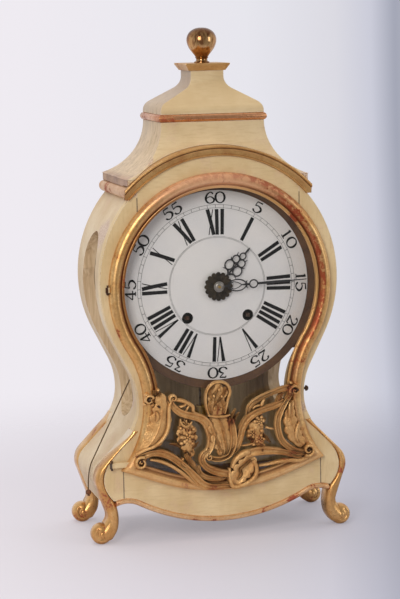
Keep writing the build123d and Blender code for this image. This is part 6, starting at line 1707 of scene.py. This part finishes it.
@dataclass
class Fretwork:
    """The bars and rings of one hand, which points at an angle from twelve, in degrees."""

    clock: float
    back: float
    mesh: BMesh = field(default_factory=blank)

    def bar(self, *line: Knot) -> None:
        """A bar through points given as (across, along, width)."""
        run_section(self.mesh, Section.WIRE, front_run(on_dial(smooth_through(line, 4), self.clock), self.back, 1.0))

    def loop(self, at: Point, half: Point, wire: float) -> None:
        """An oval ring about a point, with its half width and half length."""
        stations = []
        count = 36
        for k in range(count):
            turn = 2 * pi * k / count
            u, v = half[0] * sin(turn), half[1] * cos(turn)
            way = Vector((sin(turn) / half[0], cos(turn) / half[1])).normalized()
            ends = (at[0] + u, at[1] + v, 0), (at[0] + u + way.x, at[1] + v + way.y, 0)
            (x, z, _), (x2, z2, _) = on_dial(ends, self.clock)
            stations.append(Station(Vector((x, self.back, z)), Vector((x2 - x, 0, z2 - z)) * (wire / 2),
                                    Vector((0, -1.0, 0))))
        run_section(self.mesh, Section.WIRE, stations, closed=True)


@dataclass
class Hands:
    """The two fretted hands, the scalloped rosette and its nut."""

    finishes: Finishes
    hour_y: float = -50.7
    minute_y: float = -53.9
    rosette_y: float = -52.1
    hour_clock: float = 42.0
    minute_clock: float = 88.0

    def build(self) -> None:
        """Makes each piece on the body that it turns with."""
        self._hour_hand()
        self._minute_hand()
        self._rosette()
        self._nut()

    def _hour_hand(self) -> None:
        """The short hand: a split stem, five rings and a leaf tip."""
        hand = Fretwork(self.hour_clock, self.hour_y + 1.0)
        hand.loop((0, 0), (6.0, 6.0), 4.6)
        hand.bar((0, 6, 5.0), (0, 11, 4.2), (0, 16, 3.2), (0, 21, 2.4), (0, 26, 1.6), (0, 34, 1.2))
        for side in (-1, 1):
            hand.bar((0, 18, 2.4), (3.4 * side, 21.5, 2.0), (7.0 * side, 22.5, 1.6))
            hand.bar((6.5 * side, 22.4, 1.8), (10.5 * side, 20.5, 0.7))
            hand.loop((6.4 * side, 28.2), (5.3, 6.0), 1.7)
            hand.loop((4.4 * side, 38.3), (4.3, 4.6), 1.6)
            hand.bar((8.5 * side, 34.2, 1.8), (11.0 * side, 37.0, 0.6))
            hand.bar((0.6 * side, 33.5, 1.8), (3.6 * side, 34.2, 1.8), (8.4 * side, 33.6, 1.4))
            hand.bar((6.5 * side, 43.2, 1.4), (7.4 * side, 46.4, 0.6))
        hand.loop((0, 46.0), (3.6, 4.0), 1.6)
        hand.bar((0, 41.5, 1.6), (0, 36.0, 1.1), (0, 33.0, 1.4))
        hand.bar((0, 49.5, 3.4), (0, 52.0, 2.2), (0, 55.5, 2.6), (0, 59.3, 0.5))
        finish_piece(hand.mesh, "hour_hand_fretted", "hour_hand", self.finishes.black_steel,
                     ("hour_hand",))

    def _minute_hand(self) -> None:
        """The long hand: an oval with a heart in it, a collar, a ring and a slim blade."""
        hand = Fretwork(self.minute_clock, self.minute_y + 1.0)
        hand.loop((0, 0), (3.9, 3.9), 3.0)
        hand.bar((0, 4, 3.0), (0, 8, 2.2), (0, 12, 1.6))
        hand.loop((0, 22.5), (6.8, 11.0), 1.5)
        for side in (-1, 1):
            hand.bar((0, 12.5, 1.1), (4.2 * side, 17.5, 1.0), (2.6 * side, 24, 1.0), (0, 28, 1.2))
            hand.bar((0, 34.2, 2.6), (2.8 * side, 33.6, 1.8), (4.4 * side, 35.2, 0.7))
        hand.bar((0, 27, 1.2), (0, 32, 2.2), (0, 34.6, 3.2), (0, 38.0, 1.8))
        hand.loop((0, 42.6), (4.6, 4.9), 1.7)
        hand.bar((0, 46.8, 3.6), (0, 50, 2.8), (0, 66, 3.2), (0, 86, 2.4), (0, 90, 1.4), (0, 108.2, 1.1))
        finish_piece(hand.mesh, "minute_hand_fretted", "minute_hand", self.finishes.black_steel,
                     ("minute_hand",))

    def _rosette(self) -> None:
        """The dished rosette, with its edge in sixteen lobes."""
        mesh = blank()
        back = self.rosette_y + 1.0
        count = 16
        profile = ((4.0, 0.0), (4.0, 1.0), (7.5, 0.55), (11.0, 0.35), (14.0, 0.8), (17.0, 0.95), (17.4, 0.5),
                   (17.0, 0.0))
        steps = count * 6
        stations = []
        for k in range(steps):
            turn = 2 * pi * k / steps
            way = Vector((sin(turn), 0, cos(turn)))
            lobe = 1 - 0.13 * (1 - abs(cos(0.5 * count * turn)) ** 0.7)
            stations.append(Station(Vector((0, back, M.dial_z)), way * lobe, FORWARDS))
        run_section(mesh, profile, stations, closed=True)
        for k in range(count):
            turn = 2 * pi * k / count
            line = on_dial(((0, 7.5, 0.9), (0, 11.0, 1.6), (0, 14.5, 2.4)), degrees(turn))
            run_section(mesh, Section.ROLL, front_run(line, back - 0.3, 0.75))
        finish_piece(mesh, "rosette_scalloped", "hour_hand", self.finishes.bronze, ("rosette",))

    def _nut(self) -> None:
        """The domed nut with a flat rim."""
        mesh = blank()
        profile = ((1.55, -3.0), (1.55, 0.9), (3.0, 1.0), (4.2, 0.75), (5.0, 0.2), (5.2, -0.4), (6.2, -0.6),
                   (6.4, -1.0), (6.1, -1.3), (4.6, -2.0), (4.6, -3.0), (1.55, -3.0))
        spun(mesh, profile, Vector((0, self.minute_y - 1.1, M.dial_z)), FORWARDS, RIGHT, 40)
        finish_piece(mesh, "hand_nut_domed", "minute_hand", self.finishes.nut_steel, ("hand_nut",))


@dataclass
class Finial:
    """The polished ball on its ringed neck."""

    finishes: Finishes
    foot_z: float = 558.5
    radius: float = 17.8
    drawn_r: float = 17.7

    def build(self) -> None:
        """Turns the finial and dresses it."""
        mesh = blank()
        profile: list[Point] = [(0, 0), (8.9, 0), (9.2, 0.7), (8.9, 1.5), (7.8, 1.9), (7.0, 2.4), (6.7, 4.2),
                                (7.0, 5.6), (7.7, 6.0), (8.0, 6.6)]
        pear = ((7.4, 7.2), (9.2, 9.8), (12.0, 13.2), (14.8, 17.2), (16.8, 21.8), (17.7, 26.4), (17.2, 30.8),
                (15.0, 35.2), (11.6, 38.4), (7.2, 40.6), (3.0, 41.4), (0.0, 41.5))
        profile += [(max(r * self.radius / self.drawn_r, 0.0), h) for r, h in smooth_through(pear, 4)]
        spun(mesh, profile, Vector((0, M.middle, self.foot_z)), UP, RIGHT, 64)
        finish_piece(mesh, "finial_turned", "roof", self.finishes.finial_gold, ("finial",), crease=60)


@dataclass
class PullCord:
    """The strike cord that runs from the left slot over the knee to its bead."""

    finishes: Finishes
    diameter: float = 1.5
    top: Triple = (-103.0, -25.0, 190.5)
    corner: Triple = (-157.05, -25.0, 83.366)
    end: Triple = (-157.05, -25.0, 60.0)
    bead_r: float = 3.3
    straight_ends: float = 6.0

    def build(self) -> None:
        """Lays the cord and threads its bead."""
        top, corner, end = Vector(self.top), Vector(self.corner), Vector(self.end)
        fall = (corner - top).normalized()
        tail = (corner - end).length
        route = [top, top + fall * self.straight_ends * self.diameter, corner - fall * tail, corner, end]
        curve = bpy.data.curves.new("pull_cord_line", "CURVE")
        curve.dimensions = "3D"
        spline = curve.splines.new("NURBS")
        spline.points.add(len(route) - 1)
        for point, place in zip(spline.points, route):
            point.co = (*(place * MM), 1.0)
        spline.order_u = 3
        spline.use_endpoint_u = True
        spline.resolution_u = 16
        curve.bevel_depth = self.diameter / 2 * MM
        curve.bevel_resolution = 3
        curve.use_fill_caps = True
        cord = linked("pull_cord_thread", curve)
        curve.materials.append(self.finishes.thread)
        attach(cord, "case")
        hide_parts("pull_cord")
        bead = self._bead(end)

    def _bead(self, end: Vector) -> Object:
        """The turned bead and the knot that holds it."""
        mesh = blank()
        r = self.bead_r
        profile = [(0.8, 0.0)]
        for k in range(15):
            lean = radians(78 - 156 * k / 14)
            profile.append((r * cos(lean) * (1.03 if k in (6, 7, 8) else 1.0), -r + r * sin(lean)))
        profile += [(0.8, -2 * r), (0.8, 0.0)]
        spun(mesh, profile, end, UP, RIGHT, 32)
        for k in range(3):
            lean = 2.1 * k
            spot = end + Vector((0.7 * cos(lean), 0.7 * sin(lean), -2 * r - 0.6 + 0.25 * k))
            bmesh.ops.create_icosphere(mesh, subdivisions=2, radius=1.0, matrix=Matrix.Translation(spot))
        return finish_piece(mesh, "cord_bead_turned", "case", self.finishes.bead_wood, ("cord_bead",))


@dataclass
class Studio:
    """The floor, the backdrop light and the lamps."""

    floor_r: float = 2.2
    floor_glow: float = 0.4
    stand: Point = (-0.615, -2.28)

    def build(self) -> None:
        """Sets the floor, the world and the lamps."""
        self._floor()
        self._world()
        self._lamp("key_light", (-1.2, -1.95, 1.3), (0, 0, 0.3), (0.8, 1.5), 31.0, (1.0, 0.975, 0.94))
        self._lamp("fill_light", (1.7, -1.5, 0.8), (0, 0, 0.25), (0.6, 1.5), 7.0, (0.94, 0.96, 1.0))
        top = self._lamp("top_light", (-0.2, 0.1, 2.0), (0, 0, 0.3), (1.2, 1.2), 10.0, (1.0, 0.99, 0.97))
        top.visible_glossy = False

    def _lamp(self, name: str, at: Sequence[float], target: Sequence[float], size: tuple[float, float],
              power: float, colour: Sequence[float]) -> Object:
        """One softbox.

        Args:
            name: The lamp's name.
            at: Where it stands.
            target: The point that it faces.
            size: Its width and height, in metres.
            power: Its power, in watts.
            colour: Its colour.
        Returns:
            The lamp.
        """
        light = bpy.data.lights.new(name, "AREA")
        light.shape = "RECTANGLE"
        light.size, light.size_y = size
        light.energy = power
        light.color = colour
        lamp = linked(name, light)
        lamp.location = at
        lamp.rotation_euler = (Vector(target) - Vector(at)).to_track_quat("-Z", "Y").to_euler()
        return lamp

    def _floor(self) -> None:
        """A wide pale sheet that fades into the backdrop, darkened towards the right in a band of painted shade, and
        glowing for the camera as painted light that lifts the shadow on it.
        """
        mesh = bmesh.new()
        bmesh.ops.create_circle(mesh, cap_ends=True, segments=96, radius=self.floor_r)
        floor = linked("floor", stored(mesh, "floor"))
        r = Recipe("floor_paper")
        x, y, _ = r.spot()
        slope = r.sums("DIVIDE", r.minus(x, self.stand[0]), r.minus(y, self.stand[1]))
        # Painted shade: the floor's colour darkens in a band towards the right.
        colour = r.ramp(r.fade(slope, 0.16, 0.48, form="LINEAR"), (
            (0.0, srgb(224, 219, 225)), (0.297, srgb(214, 209, 216)), (0.432, srgb(210, 206, 213)),
            (0.554, srgb(203, 201, 211)), (0.641, srgb(184, 184, 197)), (0.69, srgb(168, 169, 183)),
            (0.9, srgb(212, 209, 216))))
        far = r.node("VectorMath", {0: r.place}, operation="LENGTH").outputs["Value"]
        # Painted light: for the camera a share of the floor's colour glows instead of being lit, which lifts the shadow
        # on it.
        seen = r.times(r.node("LightPath").outputs["Is Camera Ray"], self.floor_glow)
        r.done(Base_Color=r.blend(seen, colour, (0.0, 0.0, 0.0)), Emission_Color=colour, Emission_Strength=seen,
               Roughness=0.85, Specular_IOR_Level=0.2, Alpha=r.fade(far, 0.95, 0.3))
        floor.data.materials.append(r.material)

    def _world(self) -> None:
        """Pale light all round, darker behind the camera for the metals, with a pale backdrop that painted shade
        darkens in a band towards the right.
        """
        world = bpy.data.worlds.new("studio")
        bpy.context.scene.world = world
        world.use_nodes = True
        w = Nodes(world.node_tree)
        x, y, _ = w.split(w.node("TexCoord").outputs["Generated"])
        # Painted shade: the backdrop darkens in a band towards the right.
        paper = w.ramp(w.fade(x, 0.17, 0.42, form="LINEAR"), (
            (0.0, srgb(239, 235, 241)), (0.444, srgb(231, 230, 237)), (0.614, srgb(219, 218, 226)),
            (0.681, srgb(203, 204, 217)), (0.725, srgb(164, 167, 182)), (0.95, srgb(222, 221, 228))))
        room = w.blend(w.fade(y, -0.9, 0.5), (0.26, 0.25, 0.24), (0.80, 0.80, 0.83))
        ray = w.node("LightPath").outputs
        seen = w.sums("MAXIMUM", ray["Is Camera Ray"], ray["Is Transmission Ray"])
        glow = w.node("Background", {"Color": w.blend(seen, room, paper)}).outputs[0]
        w.node("OutputWorld", {"Surface": glow})


@dataclass(frozen=True)
class Viewpoint:
    """Where the camera stands and how it is turned, in metres and degrees."""

    place: Triple = (-0.6150, -2.2804, 0.6135)
    yaw: float = 14.878
    dip: float = 8.135
    roll: float = -1.040
    lens: float = 119.2
    sensor: float = 36.0

    def build(self) -> None:
        """Makes the camera and sets it as the scene's."""
        a, e, r = (radians(value) for value in (self.yaw, self.dip, self.roll))
        ahead = Vector((sin(a) * cos(e), cos(a) * cos(e), -sin(e)))
        right = Vector((cos(a), -sin(a), 0.0))
        up = right.cross(ahead)
        right, up = right * cos(r) + up * sin(r), up * cos(r) - right * sin(r)
        data = bpy.data.cameras.new("camera")
        data.lens = self.lens
        data.sensor_width = self.sensor
        camera = linked("camera", data)
        camera.matrix_world = Matrix.Translation(self.place) @ Matrix((right, up, -ahead)).transposed().to_4x4()
        bpy.context.scene.camera = camera


def main() -> None:
    """Builds the clock's visible pieces, the studio and the camera."""
    logging.basicConfig(level=logging.INFO, format="%(name)s: %(message)s")
    finishes = Finishes()
    Boards(finishes).dress()
    for builder in (SidePanels, ScrollLegs, ApronBead, Cornice, DoorMoulding, Carving, Dial, Hands, Finial, PullCord):
        builder(finishes).build()
    Studio().build()
    Viewpoint().build()
    bpy.context.scene.view_settings.view_transform = "Standard"


if __name__ == "__main__":
    main()
